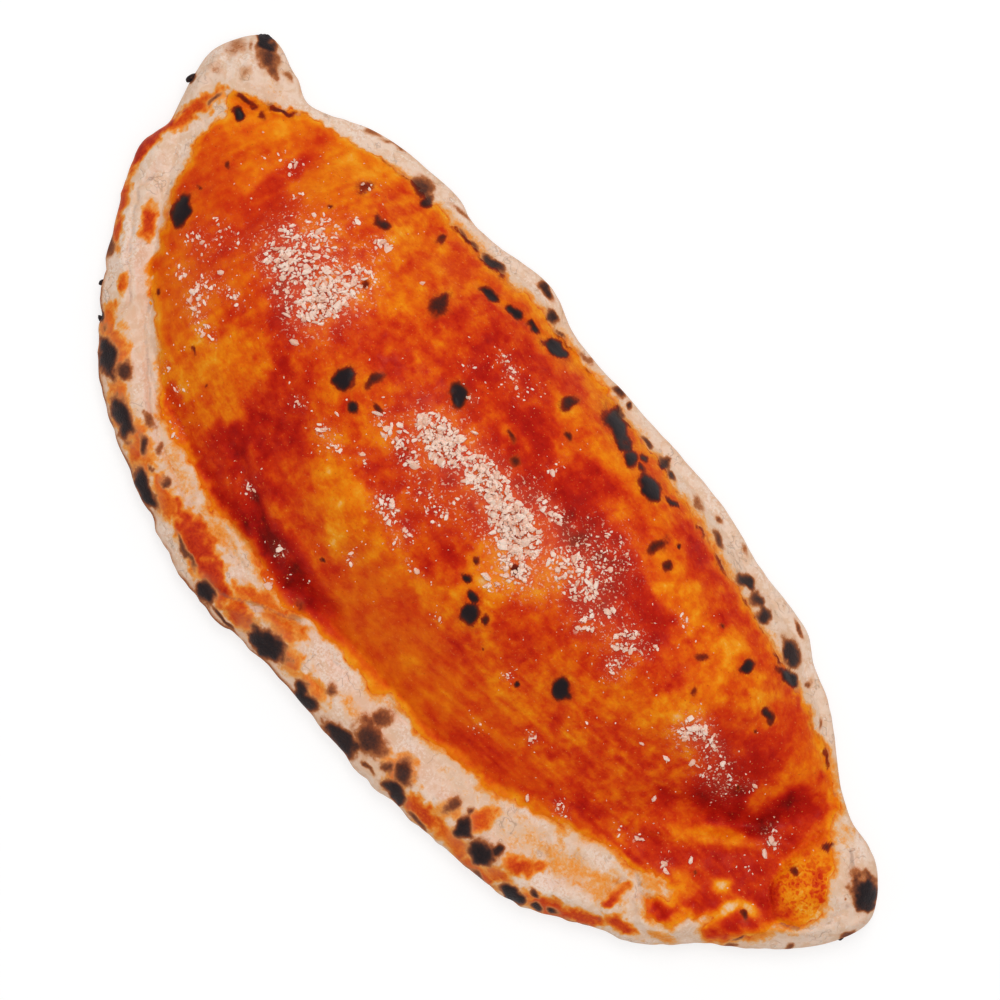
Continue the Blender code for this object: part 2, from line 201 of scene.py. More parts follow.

# Sauce smeared thinly on bare dough: x, y, half-width in x, half-width in y, turn, and strength.
SMEARS = (
    (-157.5, 16, 2.6, 9, -8, 0.72), (-159.5, 2, 2, 7, 8, 0.95), (-157, -7, 2, 5, 22, 0.95),
    (-150, -18, 5, 2, -50, 0.75), (-142, -26, 6, 1.8, -42, 0.7), (-138.5, -16, 4.8, 1.9, -48, 0.8),
    (-127, -34.5, 3, 1.5, -50, 0.65), (-121.5, -44, 5, 2.4, -50, 0.6), (-112, -49, 8, 4, -30, 0.62),
    (-98, -57, 9, 3, -25, 0.6), (-84, -60, 9, 3.5, -18, 0.62), (-66, -63, 9, 3, -14, 0.62),
    (-50, -63, 11, 4.5, -10, 0.84), (-38, -65.5, 10, 3, -8, 0.85), (-24, -66, 8, 3, 5, 0.72),
    (-24, -58, 9, 2.2, 25, 0.62), (-12, -57, 7, 3.5, 30, 0.58), (-3, -62, 5, 3, 0, 0.6),
    (9, -61, 5, 3, 0, 0.5), (-48, -56, 10, 3, 0, 0.3), (-70, -55, 12, 3, -10, 0.22),
    (20, -55, 4, 3, 0, 0.25), (45, -55, 5.5, 4.5, 0, 0.62), (59, -57, 9, 2.8, 7, 0.74),
    (69, -55, 8, 2.6, 12, 0.62), (72, -44, 3, 5, -15, 0.66), (63, -50, 3, 4, 0, 0.4),
    (84, -55, 8, 2.2, 18, 0.7), (90, -43, 5, 3.2, 50, 0.75), (94, -38, 4, 1.4, 60, 0.6),
    (89, -49, 4, 2, 30, 0.6), (105, -44, 9, 2.6, 32, 0.76), (115, -36.5, 7, 2.4, 38, 0.72),
    (115.5, -23, 1.6, 4.5, 5, 0.66), (124, -28.5, 5.5, 1.9, 22, 0.8), (116, -26, 1.4, 2.4, 0, 0.85),
    (151.5, 5, 2.2, 6, -25, 0.42), (119, -13, 4, 2, 20, 0.34), (137, -22, 3, 2, 40, 0.2),
    (100, -31, 14, 5, 22, 0.26), (112, -25, 8, 5, 25, 0.3), (86, -35, 12, 5, 20, 0.2),
    (62, -42, 12, 4, 8, 0.12), (135, -20, 5, 2, 40, 0.35), (142, 44, 4, 3, -30, 0.25),
    (-147, 38, 4, 3, 40, 0.12),
)

# Burnt and browned spots: x, y, size in x, size in y, turn, and strength: 1 is black, 0.6 brown, 0.4 tan.
SPOTS = (
    # on the sauce
    (-134.8, -6, 5.8, 8.4, 20, 1), (-148, 26.5, 4.2, 3.4, 0, 0.95), (-143, 32, 2, 3, 10, 0.44),
    (-147, 32, 3.4, 2, 40, 0.46), (-141.5, 37.2, 9, 1.8, 42, 0.6), (-150, 31, 7, 1.5, 38, 0.55),
    (-61.5, 4, 6, 6.2, 0, 1), (-53, 0.7, 3.4, 3.2, 0, 0.9), (-55.6, 11.6, 3.6, 6, 10, 0.66),
    (-48, 7.4, 4.2, 2, 5, 0.6), (-36.5, 28.8, 6.6, 5.8, 0, 1), (-62.6, 41, 6, 7.4, 10, 0.7),
    (-93.7, 41.4, 4.6, 3, 0, 0.74), (-79, 53, 3.6, 3, 0, 0.64), (-106, 44, 5, 5, 0, 0.42),
    (-106.5, 32, 2, 2, 0, 0.55), (-136, 13, 2.6, 2, 0, 0.5), (-136, 3, 2, 1.4, 0, 0.55),
    (-81, 26.7, 2.4, 2.4, 0, 0.52), (-57.5, 55.3, 6, 3, 12, 0.95), (-48, 57.4, 5.6, 3.2, 15, 1),
    (-40.6, 59.9, 7, 1.9, 18, 0.9), (-30.6, 61.5, 8, 4.2, 10, 1), (-1, 62.3, 13, 6.6, -5, 1),
    (9.3, 59, 4.6, 4.4, 0, 0.95), (5, 60.5, 6, 3, -15, 0.8), (12.5, 62.4, 3.4, 2, 0, 0.8),
    (20, 58.9, 8.2, 5.2, 0, 1), (27.6, 61, 5.4, 1.8, 22, 0.8), (14.5, 59.5, 4, 2, 0, 0.7),
    (-15.6, 55, 3.6, 5.4, -8, 0.7), (-7, 48.5, 3.4, 2, -25, 0.66), (-17.5, 33.5, 3.6, 2, 0, 0.58),
    (-11, 30.4, 3.6, 3, 0, 0.6), (35, 50.6, 3.2, 6.6, 5, 0.64), (42, 48.5, 2.8, 2.2, 0, 0.64),
    (39, 55, 1.4, 1.4, 0, 0.8), (8.5, -2, 3.4, 3.2, 0, 0.95), (14.6, -3.5, 4, 2.8, 0, 0.95),
    (22.5, -4.3, 3.4, 3, 0, 0.7), (18.5, -7.6, 6.2, 5.4, 0, 1), (5.6, 4.1, 2.4, 2.2, 0, 0.58),
    (14.7, 11, 3, 2.6, 0, 0.62), (52.6, 1.6, 6.8, 6.2, 10, 1), (43.7, -9.2, 2.2, 1.8, 0, 0.85),
    (81, 49, 3.8, 5.4, -15, 0.95), (97, 47.2, 4.8, 3.6, 0, 0.8), (91.6, 58, 7.4, 4, 18, 1),
    (70, 39.7, 2.6, 3, 0, 0.5), (-22, -34, 1.4, 1.2, 0, 0.8), (142.5, 37.8, 3, 2.4, 0, 0.6),
    (142.4, 25, 2.8, 2.4, 0, 0.56), (145, 4.4, 3, 3, 0, 0.6), (124.6, -1, 1.6, 1.4, 0, 0.45),
    (148.7, -1, 1.2, 5, -10, 0.55), (-97, -27.8, 2.4, 2, 0, 0.56), (-118.7, -27, 2.4, 1.8, 0, 0.56),
    (-86, -32, 1.2, 1.2, 0, 0.6), (28.5, -10.5, 1.2, 1, 0, 0.6), (99, 41, 1.4, 1.4, 0, 0.6),
    (111, 26, 1.2, 1.2, 0, 0.6), (-33, 6, 1.2, 1, 0, 0.6), (77, 32, 2.6, 3, 0, 0.44),
    (66, 52, 1.4, 1.2, 0, 0.6),
    # on the folded back
    (-96.5, 58.6, 7.4, 5, 5, 0.66), (-92.4, 57, 4, 2.8, 0, 0.74), (-64, 61.6, 8.6, 4.4, 8, 0.85),
    (-74, 59.8, 9, 1.4, 4, 0.6), (-112, 59, 9, 2.4, 24, 0.42), (-120, 56, 7, 2, 30, 0.4),
    (-84, 63, 8, 2, 10, 0.4), (-48, 70, 7.6, 2.8, 8, 0.78), (-41, 67.3, 5, 3, 0, 0.78),
    (-35, 65.6, 5, 1.4, 0, 0.58), (-9, 69, 5.6, 2.8, 0, 0.74), (-3, 69.4, 2.6, 2, 0, 0.74),
    (8.8, 67, 5.4, 1.8, 0, 0.66), (16.4, 68, 4.2, 3.6, 0, 0.76), (22, 66.8, 4.8, 2.2, 0, 0.74),
    (33, 69, 5, 2, 0, 0.4), (46.3, 67.3, 5.2, 3.2, 0, 0.62), (41, 71.6, 4, 2, 0, 0.5),
    (60.9, 66, 5.2, 4.6, 0, 0.9), (67.5, 65, 7, 4.6, -5, 0.76), (73, 64.2, 5, 4.4, 0, 0.84),
    (86.6, 64, 8.6, 6.6, -8, 0.9), (83, 71.4, 5.4, 1.8, -10, 0.55), (98, 63, 2.8, 2.6, 0, 0.52),
    (110, 58, 4, 1.4, -20, 0.42), (53, 71, 5, 1.6, 0, 0.38), (-24, 68, 6, 1.8, 0, 0.4),
    # on the horns
    (-161, 46.5, 8, 4.6, -5, 1), (-156.5, 43.8, 8, 5, -20, 0.66), (-152.4, 42, 6.5, 3.4, -30, 0.52),
    (-148.4, 44.5, 4, 2.4, 0, 0.36), (-165, 37, 5, 8, 12, 0.3), (-157, 36, 3.6, 6.6, 0, 0.27),
    (-164, 28.5, 6, 4, 0, 0.24), (-166.6, 21, 2.2, 4, 0, 0.72), (-156.4, 23.4, 1.8, 4.6, 0, 0.52),
    (-152, 41, 6, 4, 0, 0.22), (161, 38.2, 12.6, 9.4, -24, 1), (153.6, 39.6, 4.4, 5, 0, 0.4),
    (167.5, 27, 2.6, 4.4, 0, 0.58), (168.4, 23.8, 1.4, 1.6, 0, 0.6), (161.4, 10, 2, 4, 30, 0.5),
    (157, 32, 1.2, 1, 0, 0.4), (-163, 42, 3, 2.4, 0, 0.3),
    # on the pinched rim
    (-132.6, -39.4, 3, 3.4, 0, 0.95), (-123.7, -46, 4, 3, -40, 0.95), (-112.4, -51.4, 14.5, 7, -30, 0.97),
    (-106, -49, 5, 5, 0, 0.7), (-94, -59.2, 13, 6.6, -24, 0.97), (-89, -52, 5, 3, 0, 0.48),
    (-84, -58, 6, 3, -20, 0.74), (-79, -55, 3, 2.4, 0, 0.45), (-72.4, -66.4, 13, 5, -12, 0.97),
    (-70, -60, 4.4, 2.6, 0, 0.62), (-76, -61, 3, 2, 0, 0.55), (-35.6, -71, 9, 5.6, 0, 0.96),
    (-25, -70.4, 12, 1.6, 5, 0.7), (-50, -68, 12, 1.6, -5, 0.6), (-11, -64.4, 14.5, 9.4, 10, 0.98),
    (8.7, -65.4, 9.5, 5.5, 0, 0.95), (12, -56.8, 5.6, 4.4, 0, 0.52), (28, -49.4, 5, 6.4, 0, 0.56),
    (31, -56.8, 13, 10, 0, 0.72), (26, -64, 15, 7, 5, 0.92), (46, -54, 8, 7, 20, 0.74),
    (49, -59.4, 10, 4.6, 5, 0.95), (41, -57, 4, 4, 0, 0.6), (62.5, -47.2, 4, 6.4, 0, 0.58),
    (70.6, -50, 6.2, 7.6, 20, 0.97), (68, -44, 2.6, 3, 0, 0.6), (80.6, -49.8, 9.2, 8, 10, 0.98),
    (82.6, -44, 3, 4.4, 0, 0.86), (97, -50.2, 9, 4.6, 20, 0.97), (100.4, -44, 4.4, 1.8, 10, 0.74),
    (104, -46.6, 4.4, 2.4, 25, 0.85), (108, -43, 3.6, 1.8, 30, 0.8), (60, -60, 10, 2, 8, 0.58),
    (87, -55, 9, 2, 18, 0.6), (116, -39.5, 9, 1.6, 35, 0.52), (38, -62.5, 7, 2, 5, 0.6),
    (-15, -49.4, 6, 3, 0, 0.3), (-140, -30, 7, 2.4, -42, 0.55), (140, -22, 5, 2, 50, 0.45),
    (150, -5, 4, 2, 55, 0.45),
)

HALO = 0.16  # the share of a spot's strength that its browned halo has
TALLEST_BLISTER = 0.7

# Heaps of grated cheese: x, y, half-width in x, half-width in y, number of grains, and their size.
CHEESE = (
    (-101, 25, 6, 5, 42, 1.5), (-83, 24, 5, 6, 57, 1.6), (-105, 17, 4.5, 3, 26, 1.6),
    (-94, 17, 10, 7, 114, 1.4), (-84, 13, 6, 8, 180, 1.7), (-101, 9.5, 7, 4, 80, 1.7),
    (-90, 4, 8, 3, 26, 1.4), (-88, 38, 2.6, 2.6, 12, 2.2), (-99, 35.5, 1.6, 1.6, 4, 1.8),
    (-106, 44, 1.6, 1.6, 5, 1.6), (-119, 0.5, 6, 4, 19, 1.4), (-122.5, -8, 4, 3, 14, 1.5),
    (-102, -8, 3.4, 1.8, 9, 1.6), (-110, -14, 3.4, 4, 21, 1.7), (-106.5, -19, 3.4, 2.4, 13, 1.8),
    (-100, -21.7, 4.4, 2, 13, 1.7), (-118.7, -17, 2, 1.6, 6, 1.8), (-90, -39, 1.6, 1.6, 3, 2),
    (-100, -38.5, 3, 3, 6, 1.3), (-81.5, -47.5, 3, 2, 6, 1.5), (-63.7, -11.7, 2, 1.6, 4, 1.7),
    (-129, 25, 3, 4, 4, 1.4), (-123.7, 30.5, 3, 3, 6, 1.4), (-117, 25, 3, 3, 4, 1.4),
    (-29, 16.4, 9, 5, 228, 1.7), (-11, 20.5, 9.5, 4.5, 180, 1.7), (5, 18.5, 10, 6, 285, 1.7),
    (15, 11.5, 6, 4, 80, 1.6), (13.7, 2.8, 3, 2, 9, 1.8), (7, 30, 4.6, 2, 24, 1.7), (27, 24, 9, 5, 104, 1.6),
    (27.5, 34, 9, 8, 114, 1), (41, 19, 3.6, 4, 19, 1.5), (42, 27, 2, 2, 5, 2.2), (-35, 6.5, 7, 4, 42, 1.7),
    (-45, 6, 2, 2, 4, 1.8), (-12.5, 4, 6, 4, 22, 1.3), (-21, 2, 5, 3, 9, 1.3), (-22.5, -9, 4.6, 3, 27, 1.6),
    (-12.5, -10, 2, 3, 9, 1.6), (-52.5, -10, 2.6, 2, 8, 1.7), (-47, -10.5, 2.6, 2, 8, 1.7),
    (-39, -5.5, 2, 2, 4, 1.5), (-3, -13.6, 4, 1.4, 5, 1.3), (-38, 46.4, 1.6, 1.4, 4, 1.5),
    (-32.5, 45.7, 1.8, 1.4, 5, 1.8), (-24, 49, 5, 3, 6, 0.9), (-2.5, 39, 2, 4, 5, 1.4),
    (-28, 42, 5, 3, 6, 0.9), (-34, 31, 1.6, 1.2, 4, 1.3), (-42, 36, 2, 2, 3, 1.2),
    (-17, -27, 1.6, 1.6, 4, 1.6), (-53, -40, 3, 1.6, 5, 1.6), (-32, -43.6, 2, 1.6, 4, 1.3),
    (-22, -47, 9, 5, 10, 0.9), (-26, -53.6, 1.6, 1.2, 3, 1.8), (52, 25, 3.4, 4, 32, 1.8),
    (57.5, 17.5, 2.6, 2.8, 13, 1.7), (59, 29, 2, 4, 6, 1.4), (58, 42.6, 3, 1.4, 5, 1.4),
    (86, 25, 3.6, 4, 42, 1.7), (91.5, 28, 4.4, 1.8, 22, 1.5), (101, 23.7, 6, 5, 38, 1.1),
    (112.5, 29.4, 1.8, 1.8, 4, 1.7), (108, 22.5, 2.4, 2.4, 6, 1.1), (130, 25, 3, 3, 12, 1.5),
    (117.5, -6.2, 2, 1.8, 5, 1.9), (106, -7.9, 2, 1.8, 4, 1.8), (84, -22, 3, 1.8, 8, 1.5),
    (100, -11, 3, 2, 4, 1.1), (132, 10, 5, 6, 8, 1), (70, 4, 5, 5, 5, 1.1), (60, -15.6, 1.4, 1.4, 3, 1.4),
    (40, -10, 1.2, 1.2, 3, 1.5), (47, -26.7, 1, 1, 1, 1.5), (14, -16.7, 1, 1, 1, 1.6),
)
SHARDS = (  # single large pieces: x, y, size
    (-79, -1.5, 3.4), (-110, -7, 2.6), (-95, 15, 2.6), (-102, 24, 2.8), (-25, 25.8, 3.6), (-15, 15, 2.8),
    (0, 24, 2.8), (95, 19.4, 3), (89.5, 14, 3.2), (81, 10.6, 2.2), (132.5, 20.6, 3.4), (98, 3.4, 3),
    (120.6, 1, 3.2), (75, -28, 2.8), (-12, 10, 2.2), (-71, 40, 2.2), (-54, -4, 2.2), (42, 26, 3),
    (14, 2, 2.6), (105, -8, 2.6), (117, -6, 2.8),
)
DUST = 850  # crumbs of cheese too small to place one by one
DUST_REACH, DUST_SIZES = 2.6, (0.35, 0.85)  # how far crumbs stray, in half-widths of a heap, and their sizes
GRAIN_SPREAD = (-0.14, 0.34)  # mean and deviation of the logarithm of a grain's share of its heap's size
CROWDED, CROWDING = 120, 0.35  # a heap of this many grains gets this share more
LARGEST_GRAIN = 3.6
RAY_START = 0.2  # metres, above everything
BURNT_BARE, STAYING_GRAIN = 0.35, 1.6  # where it is burnt more than this, only grains above this size stay
GRAIN_HALVES = ((0.9, 1.4), (0.6, 1.0), (0.34, 0.60))  # the ends of a grain's half-widths, by its size
GRAIN_ROOM = 1.2  # how far grains may stand above the solid's top

FILM_EDGE, FILM_THIN, FILM_DEEP = -0.5, 0.80, 0.30  # the film's lift at its edge; cover and depth add
BACKING_DEPTH = 0.9
EVENED = 9  # how many sections the sauce's two edges are averaged over
WEB = (148.5, 24.5, 9.5, 11.5, -20)  # centre, half-widths and turn of the threads at the right horn
SUNK = 0.45  # how far the dough lies below the surface formula where the sauce covers it

# Burnt crust that stands out of the edge: x, y, z, and radii in x, y and z.
CRUSTS = (
    (-162, 46.6, 8.8, 2.4, 1.9, 1.8), (-158.6, 47, 9.2, 1.9, 1.4, 1.5), (-164.2, 45.8, 8.6, 1.1, 1.3, 1.2),
    (-167, 21, 8.6, 0.9, 1.9, 1.1), (-166.6, 23.4, 8.8, 0.7, 1, 0.8), (-132.6, -39.4, 6.4, 0.8, 1.2, 0.9),
    (-123.8, -46.4, 6.4, 1.2, 0.8, 0.9), (168.4, 24.2, 8.4, 0.7, 1, 0.8),
)

# Layers of smooth noise, each by height, cell in millimetres, and seed.
SKIN_RELIEF = (0.45, 11, 61), (0.22, 4.5, 62), (0.10, 2.0, 63)
BARE_RELIEF = (0.55, 6.5, 70), (0.24, 3.0, 64), (0.12, 1.5, 65)
FOLD_PUSH = ((0.8, 4, 11),), ((0.8, 4, 12),)  # along x, and along y
SPOT_PUSH = ((1.1, 5, 23), (0.7, 2.2, 24)), ((1.1, 5, 25), (0.7, 2.2, 26))
LEVEL_PUSH = ((2.4, 9, 31), (1.0, 3.5, 38)), ((2.4, 9, 32), (1.0, 3.5, 39))
SPOT_EDGE = (0.17, 2.2, 21), (0.11, 1.0, 22)
LEVEL_BLOTCHES = (0.15, 7, 35), (0.16, 3.6, 36), (0.10, 1.8, 37)
COVER_EDGE = (1.0, 5, 41), (0.9, 2.2, 42), (0.45, 1.0, 43)
SMEAR_EDGE = (0.55, 2.6, 51), (0.45, 1.1, 52)
TOAST_PATCHES = (0.45, 12, 68), (0.25, 5, 55), (0.2, 2, 54)
BASE_PATCHES = (0.6, 15, 76), (0.35, 6, 77)

# How many rows and columns the grids have.
SECTIONS, TOP_COLUMNS, UNDERCUT_STEPS, BASE_COLUMNS = 480, 176, 5, 10
SAUCE_SECTIONS, SAUCE_COLUMNS, SAUCE_BACKING = 520, 168, 4
PROBE_SECTIONS, PROBE_COLUMNS = 600, 200
CRUST_RINGS, CRUST_COLUMNS = 15, 24


# ------------------------------------------------------------------------------------------
# Shapes
# ------------------------------------------------------------------------------------------

def smooth(value):
    """Rises from 0 to 1 as the value does, with no corner at either end: 3 t squared less 2 t cubed."""
    t = np.clip(value, 0, 1)
    return t * t * (3 - 2 * t)


def fade(value, start, end):
    """0 up to the start and 1 from the end on, smooth between. The end may be the lower of the two."""
    return smooth((value - start) / (end - start))


def rise(distance, reach, power):
    """1 less a power of what is left to the reach: steep at the crease, level at the reach."""
    return 1 - (1 - np.clip(distance / reach, 0, 1)) ** power


def crowded(count, share):
    """Values from 0 to 1 that crowd towards both ends: an even spacing mixed with a cosine one."""
    even = np.linspace(0, 1, count)
    return (1 - share) * even + share * (1 - np.cos(np.pi * even)) / 2


def closed_spline(points, steps):
    """A closed Catmull-Rom spline: on each stretch, a cubic through its ends, sloped by their neighbours."""
    here = np.array(points)[:, None, :]
    before, after, beyond = (np.roll(here, shift, axis=0) for shift in (1, -1, -2))
    t = (np.arange(steps) / steps)[None, :, None]
    curve = 0.5 * (
        2 * here
        + (after - before) * t
        + (2 * before - 5 * here + 4 * after - beyond) * t**2
        + (3 * here - before - 3 * after + beyond) * t**3
    )
    return curve.reshape(-1, 2)


def turned(x, y, centre_x, centre_y, half_x, half_y, degrees):
    """Place in a turned ellipse: its own two coordinates, each 1 at the ellipse's edge."""
    c, s = np.cos(np.radians(degrees)), np.sin(np.radians(degrees))
    to_x, to_y = x - centre_x, y - centre_y
    return (to_x * c + to_y * s) / half_x, (to_y * c - to_x * s) / half_y


def drift(x, y, cell, seed, stretch=1.0):
    """Smooth noise from -1 to 1: random values at the corners of cells, blended across each cell.

    The cells are square and turned by the seed, or drawn out along x by the stretch and not turned.
    """
    table = np.random.default_rng(seed).uniform(-1, 1, (256, 256))
    u, v = turned(x, y, 0, 0, cell * stretch, cell, 0 if stretch > 1 else 47 * seed)
    u, v = u + 77.3, v + 91.7
    i, j = np.floor(u).astype(int), np.floor(v).astype(int)
    a, b = smooth(u - i), smooth(v - j)
    near = table[i % 256, j % 256] * (1 - b) + table[i % 256, (j + 1) % 256] * b
    far = table[(i + 1) % 256, j % 256] * (1 - b) + table[(i + 1) % 256, (j + 1) % 256] * b
    return near * (1 - a) + far * a


def drifts(x, y, layers):
    """The sum of layers of smooth noise."""
    return sum(height * drift(x, y, cell, seed) for height, cell, seed in layers)


def pushed(x, y, layers, share=1):
    """Places pushed about by the layers along x and those along y, so that what lies on them wavers."""
    along_x, along_y = layers
    return x + drifts(x, y, along_x) * share, y + drifts(x, y, along_y) * share


def outline():
    """The closed outline, scaled to the solid's box, lumpy along the rim, from the left horn's tip on."""
    loop = closed_spline(OUTLINE, SPLINE_STEPS)
    low, high = loop.min(axis=0), loop.max(axis=0)
    loop = (loop - (low + high) / 2) / (high - low) * (LENGTH, WIDTH)
    along = np.roll(loop, -1, axis=0) - np.roll(loop, 1, axis=0)
    outward = np.stack([-along[:, 1], along[:, 0]], axis=1) / np.linalg.norm(along, axis=1, keepdims=True)
    x, y = loop.T
    rimward = fade(y, 20, -20)
    lumps = drifts(x, y, ((0.25 + 0.40 * rimward, 6.5, 66), (0.10 + 0.28 * rimward, 2.6, 67)))
    lumps *= fade(abs(x), LENGTH / 2, LENGTH / 2 - 8)
    loop = loop + outward * lumps[:, None]
    return np.roll(loop, -loop[:, 0].argmin(), axis=0)


def resampled(line, shares):
    """Points at these shares of the line's length."""
    steps = np.linalg.norm(np.diff(line, axis=0), axis=1)
    along = np.concatenate([[0], steps.cumsum()]) / steps.sum()
    return np.stack([np.interp(shares, along, line[:, axis]) for axis in (0, 1)], axis=1)


def line_distance(x, y, line, closed=False):
    """Distance from each point to the nearest stretch of a line: to its foot, kept within the stretch."""
    ends = np.array(line, float)
    starts = ends if closed else ends[:-1]
    steps = (np.roll(ends, -1, axis=0) - ends)[: len(starts)]
    nearest = np.full(x.shape, np.inf)
    for (start_x, start_y), (step_x, step_y) in zip(starts, steps):
        to_x, to_y = x - start_x, y - start_y
        foot = np.clip((to_x * step_x + to_y * step_y) / (step_x**2 + step_y**2), 0, 1)
        nearest = np.minimum(nearest, np.hypot(to_x - foot * step_x, to_y - foot * step_y))
    return nearest


def inside(x, y, loop):
    """True where a ray towards +x crosses the closed loop an odd number of times."""
    odd = np.zeros(x.shape, bool)
    for (ax, ay), (bx, by) in zip(loop, np.roll(np.array(loop, float), -1, axis=0)):
        if ay != by:
            odd ^= ((ay > y) != (by > y)) & (x < ax + (bx - ax) * (y - ay) / (by - ay))
    return odd


def past_crease(x, y, place, direction):
    """How far a point lies beyond a straight crease, along the crease's direction."""
    across = np.array(direction) / np.linalg.norm(direction)
    return (x - place[0]) * across[0] + (y - place[1]) * across[1]


def dome_height(x, y, from_back, from_rim, share):
    """The product of one rise from each of the four creases round the filled dome, to its full height."""
    rim_width = RIM_WIDTH_LEFT + (RIM_WIDTH_RIGHT - RIM_WIDTH_LEFT) * share
    product = (
        rise(from_back - BACK_CREASE, BACK_RISE, BACK_POWER)
        * rise(from_rim - rim_width, RIM_RISE, RIM_POWER)
        * rise(past_crease(x, y, LEFT_CREASE, LEFT_DIRECTION), LEFT_RISE, LEFT_POWER)
        * rise(past_crease(x, y, RIGHT_CREASE, RIGHT_DIRECTION), RIGHT_RISE, RIGHT_POWER)
    )
    return (HEIGHT - TOPPING - SLAB) * product / product.max()


def rim_height(from_rim, share):
    """The rim's roll, a bell across the rim, and the uneven pleats that wave along it."""
    bell = np.exp(-(((from_rim - ROLL_PLACE) / ROLL_SPREAD) ** 2))
    turns = PLEATS * share + PLEAT_DRIFT * np.sin(2 * np.pi * 3 * share)
    return bell * (ROLL_HEIGHT + PLEAT_HEIGHT * np.sin(2 * np.pi * turns))


def swelling_height(x, y):
    """The sum of the broad swellings and hollows, each a round bell."""
    total = np.zeros_like(x)
    for centre_x, centre_y, reach_x, reach_y, height in SWELLINGS:
        total += height * np.exp(-(((x - centre_x) / reach_x) ** 2) - ((y - centre_y) / reach_y) ** 2)
    return total


def folds(x, y):
    """The narrow folds: for each, a bell across its line, with the line itself wavering a little.

    Gives the height that they add, and how deep in a crease each place lies, from 0 to 1, by which the
    dough's colour is darkened as painted shade.
    """
    waver_x, waver_y = pushed(x, y, FOLD_PUSH)
    height, crease = np.zeros_like(x), np.zeros_like(x)
    for depth, spread, line in FOLDS:
        out = line_distance(waver_x, waver_y, line) / spread
        height -= depth * np.exp(-(out**2))
        if depth > 0:
            crease = np.maximum(crease, min(depth / DEEP_FOLD, 1) * np.exp(-((out * 1.25) ** 2)))
    return height, crease


def burn(x, y):
    """How burnt the skin is, 0 to 1, and how far its blisters stand up.

    Each spot adds a core and a faint wide halo. The distance out is 1 at the spot's own edge, and wavers.
    The core fades over a stretch that is the wider the less the spot is burnt. The greatest spot counts.
    """
    waver = drifts(x, y, SPOT_EDGE)
    waver_x, waver_y = pushed(x, y, SPOT_PUSH)
    char, blister = np.zeros_like(x), np.zeros_like(x)
    for centre_x, centre_y, size_x, size_y, turn, strength in SPOTS:
        u, v = turned(waver_x, waver_y, centre_x, centre_y, size_x / 2, size_y / 2, turn)
        out = np.hypot(u, v) + waver
        soft = 1 - strength
        core = smooth((1.28 + 0.5 * soft - out) / (0.78 + 1.3 * soft))
        char = np.maximum(char, strength * ((1 - HALO) * core + HALO * fade(out, 2.6, 0.7)))
        height = min(0.14 * min(size_x, size_y), TALLEST_BLISTER) * strength**2
        blister = np.maximum(blister, height * fade(out, 1.25, 0.35))
    return char, blister


def brushed(x, y):
    """Where the sauce was brushed out thin, 0 to 1: in front of the dome, from its middle to the right."""
    return fade(y, -14, -24) * fade(x, -25, -5)


def at_left(x):
    """The left end of the sauce, where it lies more evenly, 0 to 1."""
    return fade(x, -95, -115)


def sauce_level(x, y):
    """The sauce's thickness, from faint to deep, with mottling and streaks.

    It is the mean of the levels, each weighted by a bell round its own place, stretched about the middle.
    Levels above 1 are painted shade in the fold at the dome's foot and in the valley at the right.
    The streaks run along the dome in front and across it at the left. The mottling is the weaker where the
    sauce was brushed out, and at both ends.
    """
    weights, total = np.full(x.shape, LEVEL_PULL), np.full(x.shape, LEVEL_PULL * LEVEL_BETWEEN)
    wavering = 1 - 0.5 * fade(x, 95, 110)
    waver_x, waver_y = pushed(x, y, LEVEL_PUSH, wavering)
    for centre_x, centre_y, half_x, half_y, turn, level in SAUCE_LEVELS:
        u, v = turned(waver_x, waver_y, centre_x, centre_y, half_x, half_y, turn)
        weight = np.exp(-1.2 * (u**2 + v**2))
        weights += weight
        total += weight * level
    level = total / weights - LEVEL_BETWEEN
    level = LEVEL_BETWEEN + level * np.where(level < 0, THINNER, THICKER)
    along, across = turned(x, y, 0, 0, 1, 1, 12)
    streaks = drift(along, across, 1.7, 33, 10) + 0.7 * drift(along, across, 0.9, 34, 12)
    level += 0.10 * streaks * fade(x, -5, 25) * fade(y, 18, 2)
    along, across = turned(x, y, 0, 0, 1, 1, 80)
    level += 0.09 * drift(along, across, 1.5, 45, 8) * fade(x, -70, -95)
    mottling = (1 - 0.4 * at_left(x)) * (0.3 + 0.7 * wavering) * (1 - 0.35 * brushed(x, y))
    return level + drifts(x, y, LEVEL_BLOTCHES) * mottling


def sauce_cover(x, y):
    """Signed distance to the wavering edge of the sauce, above 0 inside it."""
    distance = line_distance(x, y, SAUCE_EDGE, closed=True)
    return np.where(inside(x, y, SAUCE_EDGE), distance, -distance) + drifts(x, y, COVER_EDGE)


def smear_strength(x, y, from_sauce):
    """Sauce rubbed on bare dough: the placed smears, with ragged edges, and a fringe round the sauce.

    The fringe falls off exponentially from the sauce's edge, over a reach that varies, and is short at left.
    """
    ragged = drifts(x, y, SMEAR_EDGE)
    reach = (1.6 + 0.9 * drift(x, y, 9, 53)) * (1 - 0.45 * fade(x, -105, -115))
    strength = (0.52 + 0.20 * ragged) * np.exp(-np.clip(-from_sauce, 0, None) / reach)
    for centre_x, centre_y, half_x, half_y, turn, amount in SMEARS:
        u, v = turned(x, y, centre_x, centre_y, half_x, half_y, turn)
        strength = np.maximum(strength, amount * smooth((1.95 - np.hypot(u, v) + ragged * 0.75) / 1.6))
    return strength


def edge_toast(x, y, to_edge, across):
    """Soft patches of browning along the outline: more on the pinched rim than on the back and the horns."""
    rimward = fade(across, 0.4, 0.6) * fade(x, -145, -133) * fade(x, 122, 102)
    patchy = smooth(0.62 + drifts(x, y, TOAST_PATCHES))
    return (0.14 + 0.26 * rimward) * patchy * np.exp(-((to_edge / 1.3) ** 2))


